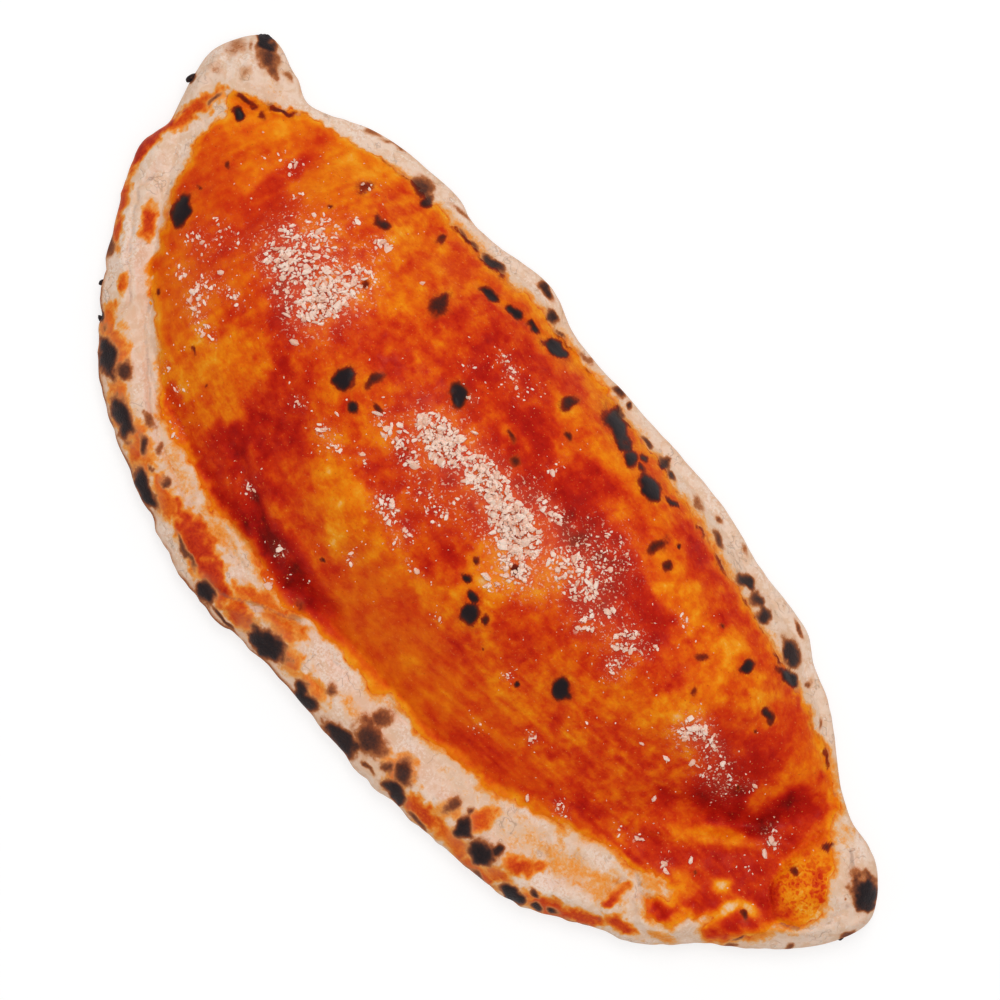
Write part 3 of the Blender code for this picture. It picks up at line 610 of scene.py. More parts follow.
def back_seam(x, y, from_sauce):
    """The sauce's scorched edge along the fold: a thin broken line just inside it."""
    patchy = np.clip(0.30 + 1.1 * drift(x, y, 5, 69), 0, 1)
    return 0.40 * patchy * fade(y, 34, 46) * np.exp(-(((from_sauce - 0.4) / 0.75) ** 2))


def section_ends(shares):
    """Where each section meets the folded back and the pinched rim."""
    loop = outline()
    right = loop[:, 0].argmax()
    back = resampled(loop[: right + 1], shares)[:, None]
    rim = resampled(np.concatenate([loop[right:], loop[:1]])[::-1], shares)[:, None]
    return back, rim


def calzone_top(shares, across):
    """The upper surface where sections meet places across them, with what covers it.

    Each section is a straight line from the back edge to the rim edge. The height is the belly's at the
    outline, and rounds over, as a quarter of an ellipse, to the slab with its dome, rim, swellings and folds.
    """
    back, rim = section_ends(shares)
    share = shares[:, None]
    width = np.linalg.norm(rim - back, axis=2)
    inward = (rim - back) / width[..., None]
    body = smooth(width / FULL_SECTION)
    belly_back = BELLY_HORN + (BELLY_BACK - BELLY_HORN) * body
    belly_rim = BELLY_HORN + (BELLY_RIM - BELLY_HORN) * body
    place = back + inward * (width * across)[..., None]
    x, y = place[..., 0], place[..., 1]
    to_edge = line_distance(x, y, outline(), closed=True)
    belly = belly_back + (belly_rim - belly_back) * across
    rounding = np.sqrt(1 - (1 - np.clip(to_edge / EDGE_ROUNDING, 0, 1)) ** 2)

    from_sauce = sauce_cover(x, y)
    level = sauce_level(x, y)
    char, blister = burn(x, y)
    char = np.maximum(char, edge_toast(x, y, to_edge, across))
    char = np.maximum(char, back_seam(x, y, from_sauce))
    fold, crease = folds(x, y)
    bare = smooth(-from_sauce / 3)
    skin = drifts(x, y, SKIN_RELIEF) + bare * drifts(x, y, BARE_RELIEF)
    skin -= (1 - bare) * 0.9 * (level - 0.5)
    shape = (
        SLAB
        + dome_height(x, y, width * across, width * (1 - across), share)
        + rim_height(width * (1 - across), share)
        + swelling_height(x, y)
        + fold
        + skin
        + blister
    )
    height = np.minimum(belly + (shape - belly) * rounding, HEIGHT - HEADROOM)
    return {
        "x": x, "y": y, "z": height, "level": level, "char": char, "crease": crease, "from_sauce": from_sauce,
        "inward": inward, "width": width, "belly_back": belly_back, "belly_rim": belly_rim,
    }


# ------------------------------------------------------------------------------------------
# Meshes
# ------------------------------------------------------------------------------------------

def quads(grid, around=False):
    """Quads between neighbours in a grid of point numbers, closed round the rows if asked."""
    following = np.roll(grid, -1, axis=1)
    if not around:
        grid, following = grid[:, :-1], following[:, :-1]
    return np.stack([grid[:-1], following[:-1], following[1:], grid[1:]], axis=-1).reshape(-1, 4)


def make_piece(name, points, faces, material, fields=None, flat=False):
    """A mesh object from points in millimetres, with its material and an attribute per field."""
    mesh = bpy.data.meshes.new(name)
    mesh.from_pydata((np.asarray(points) * MM).tolist(), [], [tuple(face) for face in faces])
    for field, values in (fields or {}).items():
        attribute = mesh.attributes.new(field, "FLOAT", "POINT")
        attribute.data.foreach_set("value", np.asarray(values, np.float32).ravel())
    mesh.materials.append(material)
    mesh.polygons.foreach_set("use_smooth", np.full(len(mesh.polygons), not flat))
    mesh.update()
    piece = bpy.data.objects.new(name, mesh)
    bpy.context.scene.collection.objects.link(piece)
    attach(piece, BODY)
    return piece


def dough_columns(width):
    """Places across each section: close together on the bare back and rim, and far apart under the sauce."""
    near_back, near_rim = np.minimum(12 / width, 0.25), np.minimum(36 / width, 0.45)
    knots = np.concatenate([0 * width, near_back, 1 - near_rim, 0 * width + 1], axis=1)
    even = np.linspace(0, 1, TOP_COLUMNS)
    return np.stack([np.interp(even, (0, 0.24, 0.52, 1), row) for row in knots])


def make_dough(material):
    """The dough: rings of points over the top, round the undercut and across the base, closed at each tip.

    The undercut is a quarter of an ellipse in from the outline on each side. Its browning, smears and burns
    are those of the top at the same distance in from the outline, and its base is toasted in patches.
    """
    inner = crowded(SECTIONS + 2, 0.35)[1:-1]
    back, rim = section_ends(inner)
    top = calzone_top(inner, dough_columns(np.linalg.norm(rim - back, axis=2)))
    sunk = SUNK * smooth(top["from_sauce"] / 2.2)
    upper = np.dstack([top["x"], top["y"], top["z"] - sunk])

    inward, width = top["inward"], top["width"]
    nearest_tip = np.minimum(abs(back[..., 0] + LENGTH / 2), abs(back[..., 0] - LENGTH / 2))
    floor = HORN_LIFT * (1 - smooth(nearest_tip / HORN_LIFT_REACH))
    turn = np.linspace(0, np.pi / 2, UNDERCUT_STEPS + 1)[None, 1:]
    draw = np.minimum(UNDERCUT, 0.4 * width) * (1 - np.cos(turn))
    drop_rim = floor + (top["belly_rim"] - floor) * (1 - np.sin(turn))
    drop_back = floor + (top["belly_back"] - floor) * (1 - np.sin(turn))
    under_rim = np.dstack([rim - inward * draw[..., None], drop_rim])
    under_back = np.dstack([back + inward * draw[..., None], drop_back])[:, ::-1]
    step = np.linspace(0, 1, BASE_COLUMNS + 2)[None, 1:-1, None]
    base = under_rim[:, -1:] * (1 - step) + under_back[:, :1] * step
    rings = np.concatenate([upper, under_rim, base, under_back], axis=1)

    lower_x, lower_y, lower_z = np.moveaxis(rings[:, TOP_COLUMNS:], 2, 0)
    fall_rim = np.hypot(draw, top["belly_rim"] - drop_rim)
    fall_back = np.hypot(draw, top["belly_back"] - drop_back)
    flat_rim, flat_back = rim + inward * fall_rim[..., None], back - inward * fall_back[..., None]
    far_base = base[..., :2] + 2 * LENGTH  # far from every spot and smear, for the base bears none
    flat = np.concatenate([flat_rim, far_base, flat_back[:, ::-1]], axis=1)
    fall = np.concatenate([fall_rim, 0 * base[..., 0] + LENGTH, fall_back[:, ::-1]], axis=1)
    flat_x, flat_y = flat[..., 0], flat[..., 1]
    across = np.where(flat_y < 0, 1.0, 0.0)
    side = np.maximum(burn(flat_x, flat_y)[0], edge_toast(flat_x, flat_y, fall, across))
    patchy = smooth(0.5 + drifts(lower_x, lower_y, BASE_PATCHES))
    toasted = fade(lower_z, 8, 3) * (0.04 + 0.10 * patchy) + fade(lower_z, 5, 1) * (0.12 + 0.12 * patchy)
    smear = smear_strength(top["x"], top["y"], top["from_sauce"])
    char = np.concatenate([top["char"], np.maximum(side, toasted)], axis=1)
    smear = np.concatenate([smear, smear_strength(flat_x, flat_y, 0 * flat_x - LENGTH)], axis=1)
    crease = np.concatenate([top["crease"], 0 * lower_x], axis=1)

    loop = outline()
    tips = [np.append(loop[end], BELLY_HORN) for end in (0, loop[:, 0].argmax())]
    around = rings.shape[1]
    grid = np.arange(SECTIONS * around).reshape(SECTIONS, around)
    left, right = SECTIONS * around, SECTIONS * around + 1
    following = np.roll(grid, -1, axis=1)
    fans = [(left, b, a) for a, b in zip(grid[0], following[0])]
    fans += [(right, a, b) for a, b in zip(grid[-1], following[-1])]
    points = np.concatenate([rings.reshape(-1, 3), tips])
    fields = {"char": char, "smear": smear, "crease": crease}
    fields = {name: np.append(values.ravel(), values[[0, -1], 0]) for name, values in fields.items()}
    faces = quads(grid, around=True).tolist() + fans
    dough = make_piece("dough_skin", points, faces, material, fields)
    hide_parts("dough")
    return dough


def cheese_powder(x, y):
    """How thickly the finest cheese lies, 0 to 1: a bell round each heap, greater where grains crowd."""
    total = np.zeros_like(x)
    for centre_x, centre_y, half_x, half_y, count, _ in CHEESE:
        u, v = turned(x, y, centre_x, centre_y, half_x, half_y, 0)
        total += min(count / (half_x * half_y) / 3, 1) * np.exp(-(u**2 + v**2) / 2.2)
    return 1 - np.exp(-1.4 * total)


def stitch(fine, coarse, step):
    """Faces that join a fine border to a coarse one, each coarse edge with its run of fine edges."""
    runs = [fine[offset:len(fine) - step + offset:step] for offset in range(step + 1)]
    return [tuple(face) for face in np.stack(runs + [coarse[1:], coarse[:-1]], axis=1).tolist()]


def make_sauce(material):
    """The sauce: a film over the dome, with a coarse backing inside the dough that closes it.

    Its grid runs from edge to edge of the sauce, found on a plain grid of probes and evened out along x. The
    film sinks into the dough at its edge. It bears the fields that its finish reads, and calm is where its
    mottling is weaker: at the left end, in deep sauce, and where it was brushed out.
    """
    shares = np.linspace(0.006, 0.994, PROBE_SECTIONS)
    probe = np.broadcast_to(np.linspace(0, 1, PROBE_COLUMNS), (PROBE_SECTIONS, PROBE_COLUMNS))
    back, rim = section_ends(shares)
    place = back + (rim - back) * probe[..., None]
    covered = sauce_cover(place[..., 0], place[..., 1]) > -2.4
    rows = np.flatnonzero(covered.any(axis=1))
    shares = shares[rows]
    first = probe[0, covered[rows].argmax(axis=1)]
    last = probe[0, -1 - covered[rows][:, ::-1].argmax(axis=1)]
    spaced = np.linspace(shares[0], shares[-1], SAUCE_SECTIONS + 1)
    box = np.ones(EVENED) / EVENED
    first, last = (np.convolve(np.pad(edge, EVENED // 2, "edge"), box, "valid") for edge in (first, last))
    first, last = (np.interp(spaced, shares, edge)[:, None] for edge in (first, last))
    across = first + (last - first) * np.linspace(0, 1, SAUCE_COLUMNS + 1)[None]
    top = calzone_top(spaced, across)
    cover = smooth(0.5 + top["from_sauce"] / 2.4)
    lift = FILM_EDGE + cover * (FILM_THIN + FILM_DEEP * np.clip(top["level"], 0, 1))
    upper = np.dstack([top["x"], top["y"], top["z"] + lift])
    backing = upper[::SAUCE_BACKING, ::SAUCE_BACKING] - (0, 0, BACKING_DEPTH)
    backing[..., 2] -= 0.3 * smooth(top["from_sauce"][::SAUCE_BACKING, ::SAUCE_BACKING] / 3)

    reach = 3.6 + 1.8 * drift(top["x"], top["y"], 8, 44)
    thin = 1 - smooth(top["from_sauce"] / reach)
    level = top["level"] - thin * (0.10 + 0.55 * np.clip(top["level"], 0, 1))
    level = np.clip(level, LEVEL_FAINT, LEVEL_DEEP_SHADE)
    web = np.exp(-np.hypot(*turned(top["x"], top["y"], *WEB)) ** 4)
    wet = fade(top["level"], 0.35, 0.85)
    powder = cheese_powder(top["x"], top["y"])
    calm = at_left(top["x"]) + fade(top["level"], 0.60, 0.95) + brushed(top["x"], top["y"])
    calm = np.clip(calm, 0, 1)
    count = upper.shape[0] * upper.shape[1]
    grid = np.arange(count).reshape(upper.shape[:2])
    coarse = count + np.arange(backing.shape[0] * backing.shape[1]).reshape(backing.shape[:2])
    faces = quads(grid).tolist() + quads(coarse)[:, ::-1].tolist()
    faces += stitch(grid[0, ::-1], coarse[0, ::-1], SAUCE_BACKING)
    faces += stitch(grid[-1], coarse[-1], SAUCE_BACKING)
    faces += stitch(grid[:, 0], coarse[:, 0], SAUCE_BACKING)
    faces += stitch(grid[::-1, -1], coarse[::-1, -1], SAUCE_BACKING)
    points = np.concatenate([upper.reshape(-1, 3), backing.reshape(-1, 3)])
    fields = {}
    borne = {"level": level, "char": top["char"], "web": web, "wet": wet, "powder": powder, "calm": calm}
    for name, values in borne.items():
        fields[name] = np.concatenate([values.ravel(), values[::SAUCE_BACKING, ::SAUCE_BACKING].ravel()])
    return make_piece("sauce_film", points, faces, material, fields)


ICOSAHEDRON_FACES = (
    (0, 11, 5), (0, 5, 1), (0, 1, 7), (0, 7, 10), (0, 10, 11), (1, 5, 9), (5, 11, 4), (11, 10, 2), (10, 7, 6),
    (7, 1, 8), (3, 9, 4), (3, 4, 2), (3, 2, 6), (3, 6, 8), (3, 8, 9), (4, 9, 5), (2, 4, 11), (6, 2, 10),
    (8, 6, 7), (9, 8, 1),
)


def icosahedron():
    """The twelve corners of an icosahedron of radius 1: three golden rectangles across each other."""
    golden = (1 + 5**0.5) / 2
    corners = np.array([
        (-1, golden, 0), (1, golden, 0), (-1, -golden, 0), (1, -golden, 0), (0, -1, golden), (0, 1, golden),
        (0, -1, -golden), (0, 1, -golden), (golden, 0, -1), (golden, 0, 1), (-golden, 0, -1), (-golden, 0, 1),
    ])
    return corners / np.hypot(1, golden)


def random_turns(rng, count):
    """Rotation matrices spread evenly over all turns, from random unit quaternions."""
    a, b, c, d = rng.normal(size=(count, 4)).T
    size = np.sqrt(a**2 + b**2 + c**2 + d**2)
    a, b, c, d = a / size, b / size, c / size, d / size
    return np.stack([
        np.stack([1 - 2 * (c * c + d * d), 2 * (b * c - a * d), 2 * (b * d + a * c)], axis=1),
        np.stack([2 * (b * c + a * d), 1 - 2 * (b * b + d * d), 2 * (c * d - a * b)], axis=1),
        np.stack([2 * (b * d - a * c), 2 * (c * d + a * b), 1 - 2 * (b * b + c * c)], axis=1),
    ], axis=1)


def ground(pieces, x, y):
    """The height of the topmost of these pieces under each place, by a ray straight down."""
    trees = []
    for piece in pieces:
        mesh = piece.data
        points = np.zeros(len(mesh.vertices) * 3)
        mesh.vertices.foreach_get("co", points)
        faces = [tuple(face.vertices) for face in mesh.polygons]
        trees.append(BVHTree.FromPolygons(points.reshape(-1, 3).tolist(), faces))
    down = Vector((0, 0, -1))
    heights = []
    for place_x, place_y in zip(x, y):
        hits = (tree.ray_cast(Vector((place_x * MM, place_y * MM, RAY_START)), down)[0] for tree in trees)
        heights.append(max((hit.z / MM for hit in hits if hit), default=np.nan))
    return np.array(heights)


def make_cheese(material, pieces):
    """Grated cheese: broken grains heaped where it fell, single shards and a dusting of crumbs."""
    rng = np.random.default_rng(5)
    x, y, size, heap = [], [], [], []
    for centre_x, centre_y, half_x, half_y, count, grain in CHEESE:
        count = round(count * (1 + CROWDING * min(count / CROWDED, 1)))
        out = np.sqrt(rng.uniform(0, 1, count)) ** 1.15
        turn = rng.uniform(0, 2 * np.pi, count)
        x.append(centre_x + 1.1 * half_x * out * np.cos(turn))
        y.append(centre_y + 1.1 * half_y * out * np.sin(turn))
        size.append(grain * np.exp(rng.normal(*GRAIN_SPREAD, count)))
        heap.append(min(count / (half_x * half_y), 2.2) * (1 - out))
    shards = np.array(SHARDS)
    x.append(shards[:, 0])
    y.append(shards[:, 1])
    size.append(shards[:, 2])
    heap.append(np.zeros(len(shards)))
    near = rng.integers(0, len(CHEESE), DUST)
    heaps = np.array(CHEESE)[near]
    x.append(heaps[:, 0] + DUST_REACH * heaps[:, 2] * rng.normal(0, 0.8, DUST))
    y.append(heaps[:, 1] + DUST_REACH * heaps[:, 3] * rng.normal(0, 0.8, DUST))
    size.append(rng.uniform(*DUST_SIZES, DUST))
    heap.append(np.zeros(DUST))
    x, y, size, heap = (np.concatenate(part) for part in (x, y, size, heap))
    keep = (sauce_cover(x, y) > -1.0) & ((burn(x, y)[0] < BURNT_BARE) | (size > STAYING_GRAIN))
    x, y, size, heap = x[keep], y[keep], size[keep], heap[keep]
    size = np.minimum(size, LARGEST_GRAIN)
    count = len(x)

    halves = np.stack([rng.uniform(*ends, count) for ends in GRAIN_HALVES], axis=1)
    corners = icosahedron() * rng.uniform(0.6, 1.2, (count, 12, 1)) * (halves * size[:, None] / 2)[:, None]
    corners = np.einsum("nij,nkj->nki", random_turns(rng, count), corners)
    corners[..., 2] *= 0.75
    z = ground(pieces, x, y) + size * 0.10 + heap * rng.uniform(0, 0.9, count)
    z = np.minimum(z, HEIGHT + GRAIN_ROOM - size * 0.4)
    points = (corners + np.stack([x, y, z], axis=1)[:, None]).reshape(-1, 3)
    faces = (np.array(ICOSAHEDRON_FACES)[None] + 12 * np.arange(count)[:, None, None]).reshape(-1, 3)
    fields = {"tone": np.repeat(rng.uniform(0, 1, count) + 0.7 * fade(size, 1.2, 0.4), 12)}
    make_piece("grated_cheese", points, faces.tolist(), material, fields, flat=True)


def make_crusts(material):
    """Burnt crust at the edge: balls whose radius wavers, sunk into the dough."""
    rings, around = CRUST_RINGS, CRUST_COLUMNS
    down = np.linspace(0, np.pi, rings)[1:-1, None]
    turn = np.linspace(0, 2 * np.pi, around, endpoint=False)[None]
    ball = np.dstack([np.sin(down) * np.cos(turn), np.sin(down) * np.sin(turn), np.cos(down) + 0 * turn])
    ball = np.concatenate([ball.reshape(-1, 3), [(0, 0, 1), (0, 0, -1)]])
    grid = np.arange((rings - 2) * around).reshape(rings - 2, around)
    top, bottom = grid.size, grid.size + 1
    following = np.roll(grid, -1, axis=1)
    shell = quads(grid, around=True)[:, ::-1].tolist()
    shell += [(top, a, b) for a, b in zip(grid[0].tolist(), following[0].tolist())]
    shell += [(bottom, b, a) for a, b in zip(grid[-1].tolist(), following[-1].tolist())]
    points, faces = [], []
    for number, (x, y, z, *radii) in enumerate(CRUSTS):
        lump = ball * radii
        waver = 1 + 0.22 * drift(lump[:, 0] * 2 + 9 * number, lump[:, 1] * 2 + lump[:, 2] * 1.3, 1.5, 81)
        points.append(lump * waver[:, None] + (x, y, z))
        faces += [tuple(corner + number * len(ball) for corner in face) for face in shell]
    make_piece("burnt_crust", np.concatenate(points), faces, material)


# ------------------------------------------------------------------------------------------
# Materials
# ------------------------------------------------------------------------------------------

class Wire:
    """One output socket. Arithmetic on wires and numbers adds Math nodes to the recipe it belongs to."""

    def __init__(self, recipe, socket):
        self.recipe, self.socket = recipe, socket

    def _math(self, operation, first, second):
        return self.recipe.node("ShaderNodeMath", {"operation": operation}, {0: first, 1: second})

    def __add__(self, other):
        return self._math("ADD", self, other)

    def __sub__(self, other):
        return self._math("SUBTRACT", self, other)

    def __rsub__(self, other):
        return self._math("SUBTRACT", other, self)

    def __mul__(self, other):
        return self._math("MULTIPLY", self, other)

    __radd__, __rmul__ = __add__, __mul__

    def between(self, low, high):
        """0 below low, 1 above high, and a smooth step between them."""
        settings = {"interpolation_type": "SMOOTHSTEP"}
        inputs = {"Value": self, "From Min": low, "From Max": high}
        return self.recipe.node("ShaderNodeMapRange", settings, inputs)

    def most(self, other):
        """The greater of the two."""
        return self._math("MAXIMUM", self, other)


class Recipe:
    """A material and its nodes."""

    def __init__(self, name):
        self.material = bpy.data.materials.new(name)
        self.material.use_nodes = True
        self.tree = self.material.node_tree
        self.tree.nodes.clear()
        self.place = self.node("ShaderNodeTexCoord", {}, {}, "Object")

    def node(self, kind, settings, inputs, output=0):
        """A node of this type, with its settings and its sockets' values or links; gives the asked output."""
        made = self.tree.nodes.new(kind)
        for name, value in settings.items():
            if name == "stops":
                ramp = made.color_ramp.elements
                while len(ramp) < len(value):
                    ramp.new(1.0)
                for element, (position, colour) in zip(ramp, value):
                    element.position, element.color = position, colour
            else:
                setattr(made, name, value)
        for name, value in inputs.items():
            if isinstance(value, Wire):
                self.tree.links.new(value.socket, made.inputs[name])
            else:
                made.inputs[name].default_value = value
        return Wire(self, made.outputs[output])

    def noise(self, size, detail=2.0, roughness=0.55, place=None, distortion=0.0):
        """Noise from 0 to 1 whose largest features are about this size in millimetres."""
        inputs = {"Vector": place or self.place, "Scale": 1 / (size * MM), "Detail": detail}
        inputs.update({"Roughness": roughness, "Distortion": distortion})
        return self.node("ShaderNodeTexNoise", {}, inputs)

    def cells(self, size, feature, place=None):
        """Distances in a pattern of cells of about this size in millimetres."""
        inputs = {"Vector": place or self.place, "Scale": 1 / (size * MM)}
        return self.node("ShaderNodeTexVoronoi", {"feature": feature}, inputs, "Distance")

    def field(self, name):
        """A piece's own float attribute."""
        return self.node("ShaderNodeAttribute", {"attribute_name": name}, {}, "Fac")

    def stretched(self, x, y, z):
        """Places scaled along each axis, so that a pattern on them is drawn out."""
        return self.node("ShaderNodeVectorMath", {"operation": "MULTIPLY"}, {0: self.place, 1: (x, y, z)})

    def warped(self, size, reach):
        """Places pushed about by up to about this reach in millimetres, so that a pattern on them wavers."""
        inputs = {"Vector": self.place, "Scale": 1 / (size * MM), "Detail": 2.0}
        push = self.node("ShaderNodeTexNoise", {}, inputs, "Color")
        push = self.node("ShaderNodeVectorMath", {"operation": "SUBTRACT"}, {0: push, 1: (0.5, 0.5, 0.5)})
        push = self.node("ShaderNodeVectorMath", {"operation": "SCALE"}, {0: push, "Scale": 4 * reach * MM})
        return self.node("ShaderNodeVectorMath", {"operation": "ADD"}, {0: self.place, 1: push})

    def mix(self, first, second, factor):
        """The second colour over the first by the factor."""
        return self.node("ShaderNodeMix", {"data_type": "RGBA"}, {0: factor, 6: first, 7: second}, 2)

    def ramp(self, value, stops):
        """A colour for each value: stops of position and colour."""
        return self.node("ShaderNodeValToRGB", {"stops": stops}, {"Fac": value})

    def bump(self, height, strength, distance, below=None):
        """A normal bent by the height, at this distance in millimetres."""
        inputs = {"Height": height, "Strength": strength, "Distance": distance * MM}
        if below is not None:
            inputs["Normal"] = below
        return self.node("ShaderNodeBump", {}, inputs)

    def finish(self, **sockets):
        """The shader, with each socket's name written with underscores for spaces."""
        inputs = {name.replace("_", " "): value for name, value in sockets.items()}
        shader = self.node("ShaderNodeBsdfPrincipled", {"subsurface_method": "BURLEY"}, inputs)
        self.node_output(shader)
        return self.material

    def node_output(self, shader):
        """Links a shader to the material's output."""
        made = self.tree.nodes.new("ShaderNodeOutputMaterial")
        self.tree.links.new(shader.socket, made.inputs["Surface"])


def colour(red, green, blue):
    """A display colour, 0 to 255, as a linear one."""
    display = np.array([red, green, blue]) / 255
    linear = np.where(display <= 0.04045, display / 12.92, ((display + 0.055) / 1.055) ** 2.4)
    return (*linear.tolist(), 1.0)


def stops(*rows):
    """Places on a ramp with their colours, from rows of place, red, green and blue."""
    return [(at, colour(*tint)) for at, *tint in rows]


DOUGH_PALE = colour(238, 210, 190)
DOUGH_CREAM = colour(228, 190, 160)
DOUGH_TAN = colour(216, 160, 118)
# painted shade for the creases and the wrinkle grooves of the dough
DOUGH_CREASE_SHADE = colour(140, 100, 80)
FLOUR = colour(244, 226, 214)
SMEAR_STOPS = stops(
    (0.0, 230, 190, 160), (0.18, 232, 174, 112), (0.36, 236, 146, 54), (0.54, 226, 108, 20),
    (0.72, 208, 70, 12), (0.88, 188, 44, 10), (1.0, 166, 30, 9),
)
DOUGH_CHAR_STOPS = stops(
    (0.0, 224, 170, 124), (0.14, 214, 146, 92), (0.3, 180, 108, 62), (0.46, 138, 76, 46),
    (0.62, 98, 54, 38), (0.78, 60, 38, 34), (1.0, 36, 28, 30),
)
SAUCE_CHAR_STOPS = stops(
    (0.0, 200, 86, 12), (0.16, 176, 60, 12), (0.32, 144, 42, 12), (0.48, 110, 33, 14),
    (0.62, 80, 29, 19), (0.78, 50, 27, 25), (1.0, 34, 26, 29),
)
SAUCE_COLOURS = stops(  # by level
    (-0.25, 238, 198, 158), (-0.12, 240, 176, 98), (0.0, 242, 152, 28), (0.14, 238, 128, 8),
    (0.3, 229, 101, 6), (0.46, 218, 74, 7), (0.62, 205, 49, 7), (0.8, 186, 28, 7),
    (1.0, 162, 14, 6), (1.2, 118, 9, 6),
# painted shade: the stop at 1.2 darkens the fold and the valley beyond the deepest sauce
)


def charred(recipe, base, char, grain, burning):
    """The base colour burnt by the char, through a faint brown halo to black, with a ragged edge."""
    ragged = char + (grain - 0.5) * 0.34 * (char * 4).between(0.0, 1.0)
    return recipe.mix(base, recipe.ramp(ragged, burning), ragged.between(0.02, 0.34)), ragged


def dough_finish():
    """Baked dough: cream skin with tan and floury patches, painted shade in creases and wrinkles, smears, and
    burns.
    """
    r = Recipe("baked_dough")
    patches = r.noise(16, 3)
    mottle = r.noise(3.6, 4, 0.6, distortion=0.6)
    fine = r.noise(0.9, 3, 0.65)
    base = r.mix(DOUGH_CREAM, DOUGH_TAN, (patches * 0.6 + mottle * 0.4).between(0.48, 0.64) * 0.7)
    base = r.mix(base, DOUGH_PALE, mottle.between(0.40, 0.60) * 0.85)
    base = r.mix(base, FLOUR, (fine * 0.55 + patches * 0.45).between(0.50, 0.60) * 0.65)
    smear = r.field("smear") + (mottle - 0.5) * 0.50 + (fine - 0.5) * 0.42
    wiped = smear.between(0.05, 0.30)
    base = r.mix(base, r.ramp(smear, SMEAR_STOPS), wiped)
    crease = (r.field("crease") + (mottle - 0.5) * 1.4 + (fine - 0.5) * 0.5).between(0.45, 1.15)
    wrinkles = 1 - r.cells(10, "DISTANCE_TO_EDGE", r.warped(5.0, 5.0)).between(0.0, 0.045)
    wrinkles = wrinkles * r.noise(9, 2).between(0.50, 0.62) * (1 - wiped)
    # painted shade: creases and wrinkle grooves are darkened in colour as well as bumped
    base = r.mix(base, DOUGH_CREASE_SHADE, crease * 0.50 + wrinkles * 0.38)
    base, burnt = charred(r, base, r.field("char"), fine, DOUGH_CHAR_STOPS)
    crust = burnt.between(0.4, 0.8)
    relief = r.bump(mottle * 0.55 + fine * 0.35 + patches * 0.10 - wrinkles * 0.35, 0.6, 0.6)
    relief = r.bump(r.noise(0.6, 2, 0.6) * crust, 0.7, 0.5, relief)
    return r.finish(
        Base_Color=base, Roughness=0.80 - wiped * 0.16 - crust * 0.15, Normal=relief, Specular_IOR_Level=0.12,
        Subsurface_Weight=0.1, Subsurface_Scale=0.0015,
    )


def sauce_finish():
    """Tomato sauce baked onto dough: yellow-orange where thin, deep red where thick, mottled, with burns.

    Round the right horn, where the web is, threads run through it. Where the powder is, crumbs of cheese
    lighten it. Levels above 1 give red-black painted shade in the fold at the dome's foot and in the valley
    at the right.
    """
    r = Recipe("tomato_sauce")
    pulp = r.noise(3.0, 2, 0.5, distortion=0.4)
    fine = r.noise(0.9, 2, 0.5, distortion=0.4)
    drawn = r.noise(1.9, 2, 0.5, r.stretched(0.25, 1.0, 1.0))
    web = r.field("web")
    threads = 1 - r.cells(3.9, "DISTANCE_TO_EDGE", r.warped(2.6, 2.0)).between(0.0, 0.30)
    mottle = (pulp - 0.5) * 0.60 + (fine - 0.5) * 0.30 + (drawn - 0.5) * 0.24
    level = r.field("level") + mottle * (0.88 - r.field("calm") * 0.34)
    level = level + web * (0.24 - threads * 0.38)
    low, high = SAUCE_COLOURS[0][0], SAUCE_COLOURS[-1][0]
    spaced = [((at - low) / (high - low), tint) for at, tint in SAUCE_COLOURS]
    base = r.ramp((level - low) * (1 / (high - low)), spaced)
    speck = r.noise(0.7, 1, 0.5)
    base = r.mix(base, colour(240, 150, 76), speck.between(0.68, 0.78) * 0.4)
    base = r.mix(base, colour(120, 22, 10), (1 - speck).between(0.70, 0.80) * 0.4)
    powder = r.field("powder")
    base = r.mix(base, colour(222, 112, 80), powder * powder * 0.45)
    crumbs = (r.noise(0.9, 2, 0.6, r.warped(1.5, 0.3)) + powder * 0.09).between(0.63, 0.70)
    base = r.mix(base, colour(234, 180, 152), crumbs * powder.between(0.05, 0.5) * 0.75)
    base, burnt = charred(r, base, r.field("char"), fine, SAUCE_CHAR_STOPS)
    crust = burnt.between(0.45, 0.8)
    sheen = r.noise(4.0, 2).between(0.46, 0.68) * (0.3 + r.field("wet") * 0.7) * (1 - crust)
    relief = r.bump(pulp * 0.45 + drawn * 0.25 + fine * 0.30 + threads * web * 0.4, 0.45, 0.5)
    return r.finish(
        Base_Color=base, Roughness=0.60 - crust * 0.15 + (fine - 0.5) * 0.2, Normal=relief,
        Specular_IOR_Level=0.06, Coat_Weight=sheen * 0.08 + crust * 0.05, Coat_Roughness=0.2,
        Subsurface_Weight=0.04, Subsurface_Scale=0.0012,
    )


def cheese_finish():
    """Grated hard cheese: pale, a little warmer and darker from grain to grain."""
    r = Recipe("grated_cheese")
    base = r.mix(colour(246, 220, 203), colour(230, 172, 142), r.field("tone").between(0.2, 1.3))
    return r.finish(
        Base_Color=base, Roughness=0.62, Normal=r.bump(r.noise(0.5, 2), 0.4, 0.2), Specular_IOR_Level=0.2,
        Subsurface_Weight=0.1, Subsurface_Scale=0.001,
    )


def crust_finish():
    """Burnt crust: near black, with brown in its cracks."""
    r = Recipe("charred_dough")
    grain = r.noise(0.8, 3, 0.6)
    base = r.mix(colour(36, 27, 29), colour(86, 50, 38), grain.between(0.50, 0.70))
    return r.finish(Base_Color=base, Roughness=0.7, Normal=r.bump(grain, 0.8, 0.6), Specular_IOR_Level=0.2)


# ------------------------------------------------------------------------------------------
# Stage
# ------------------------------------------------------------------------------------------

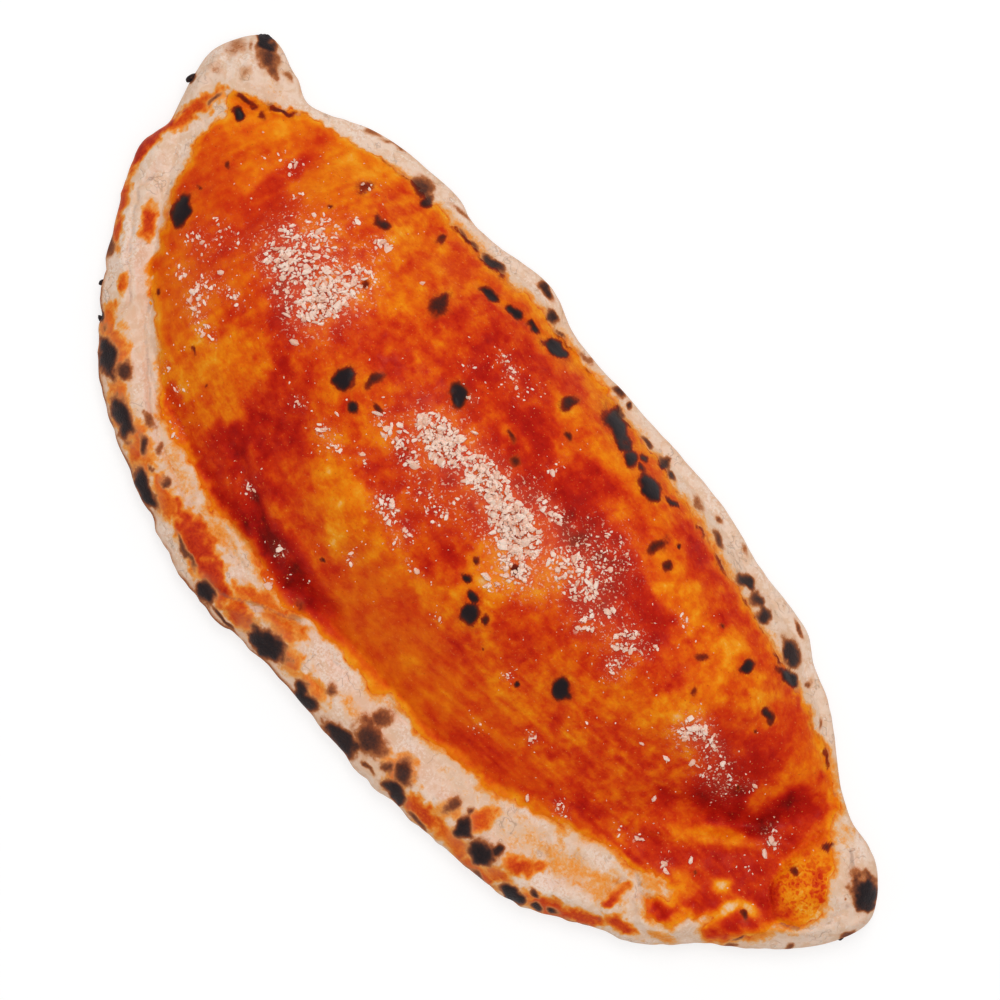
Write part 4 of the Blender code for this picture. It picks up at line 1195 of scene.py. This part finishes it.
# Places and lengths of the stage, in metres.
VIEW_CENTRE = (-0.0042, 0.0200, 0.010)
VIEW_RIGHT, VIEW_UP = (0.595, 0.804, 0.0), (-0.804, 0.595, 0.0)
VIEW_WIDTH = 0.31075
LENS, SENSOR = 120, 36
CLIP_END = 20
WHITE, FLOOR_WHITE = (1, 1, 1, 1), (0.93, 0.93, 0.93, 1)
FLOOR_REACH = 3  # metres
FLOOR_GLOW, GLOW_STRENGTH = 0.6, 1.12
SURROUND_STRENGTH = 0.55
LAMPS = (  # name, direction, distance and size in metres, and power
    ("key", (-0.35, 0.45, 1.2), 1.3, 0.5, 4.0),
    ("overhead", (0.10, 0.10, 1.0), 1.5, 0.9, 4.6),
)


def make_floor():
    """A white table top. To the camera part of it glows, so it shows white and its shadows soften."""
    r = Recipe("floor")
    path = r.tree.nodes.new("ShaderNodeLightPath")
    seen = Wire(r, path.outputs["Is Camera Ray"]).most(Wire(r, path.outputs["Is Glossy Ray"]))
    seen = seen.most(Wire(r, path.outputs["Is Transmission Ray"]))
    plain = r.node("ShaderNodeBsdfDiffuse", {}, {"Color": FLOOR_WHITE})
    glow = r.node("ShaderNodeEmission", {}, {"Color": WHITE, "Strength": GLOW_STRENGTH})
    r.node_output(r.node("ShaderNodeMixShader", {}, {0: seen * FLOOR_GLOW, 1: plain, 2: glow}))
    mesh = bpy.data.meshes.new("floor")
    far = FLOOR_REACH
    mesh.from_pydata([(-far, -far, 0), (far, -far, 0), (far, far, 0), (-far, far, 0)], [], [(0, 1, 2, 3)])
    mesh.materials.append(r.material)
    floor = bpy.data.objects.new("floor", mesh)
    bpy.context.scene.collection.objects.link(floor)


def make_lamp(name, direction, distance, size, power):
    """A white square lamp at this distance from the calzone, facing it."""
    lamp = bpy.data.lights.new(name, "AREA")
    lamp.shape, lamp.size, lamp.energy = "SQUARE", size, power
    holder = bpy.data.objects.new(name, lamp)
    bpy.context.scene.collection.objects.link(holder)
    away = Vector(direction).normalized()
    holder.location = away * distance
    holder.rotation_euler = away.to_track_quat("Z", "Y").to_euler()


def make_world(strength):
    """Even white light, and a plain white background."""
    world = bpy.data.worlds.new("surround")
    world.use_nodes = True
    background = world.node_tree.nodes["Background"]
    background.inputs["Color"].default_value = WHITE
    background.inputs["Strength"].default_value = strength
    bpy.context.scene.world = world


def make_camera():
    """A long lens straight above the calzone, turned so that this lies from upper left to lower right."""
    camera = bpy.data.objects.new("camera", bpy.data.cameras.new("camera"))
    camera.data.lens, camera.data.sensor_width = LENS, SENSOR
    camera.data.clip_end = CLIP_END
    bpy.context.scene.collection.objects.link(camera)
    right, up = Vector(VIEW_RIGHT).normalized(), Vector(VIEW_UP).normalized()
    turn = Matrix((right, up, right.cross(up))).transposed().to_4x4()
    height = VIEW_WIDTH * LENS / SENSOR
    camera.matrix_world = Matrix.Translation(Vector(VIEW_CENTRE) + Vector((0, 0, height))) @ turn
    bpy.context.scene.camera = camera


make_camera()
make_world(SURROUND_STRENGTH)
for lamp in LAMPS:
    make_lamp(*lamp)
make_floor()
dough = make_dough(dough_finish())
sauce = make_sauce(sauce_finish())
make_cheese(cheese_finish(), [dough, sauce])
make_crusts(crust_finish())
bpy.context.scene.view_settings.view_transform = "Standard"
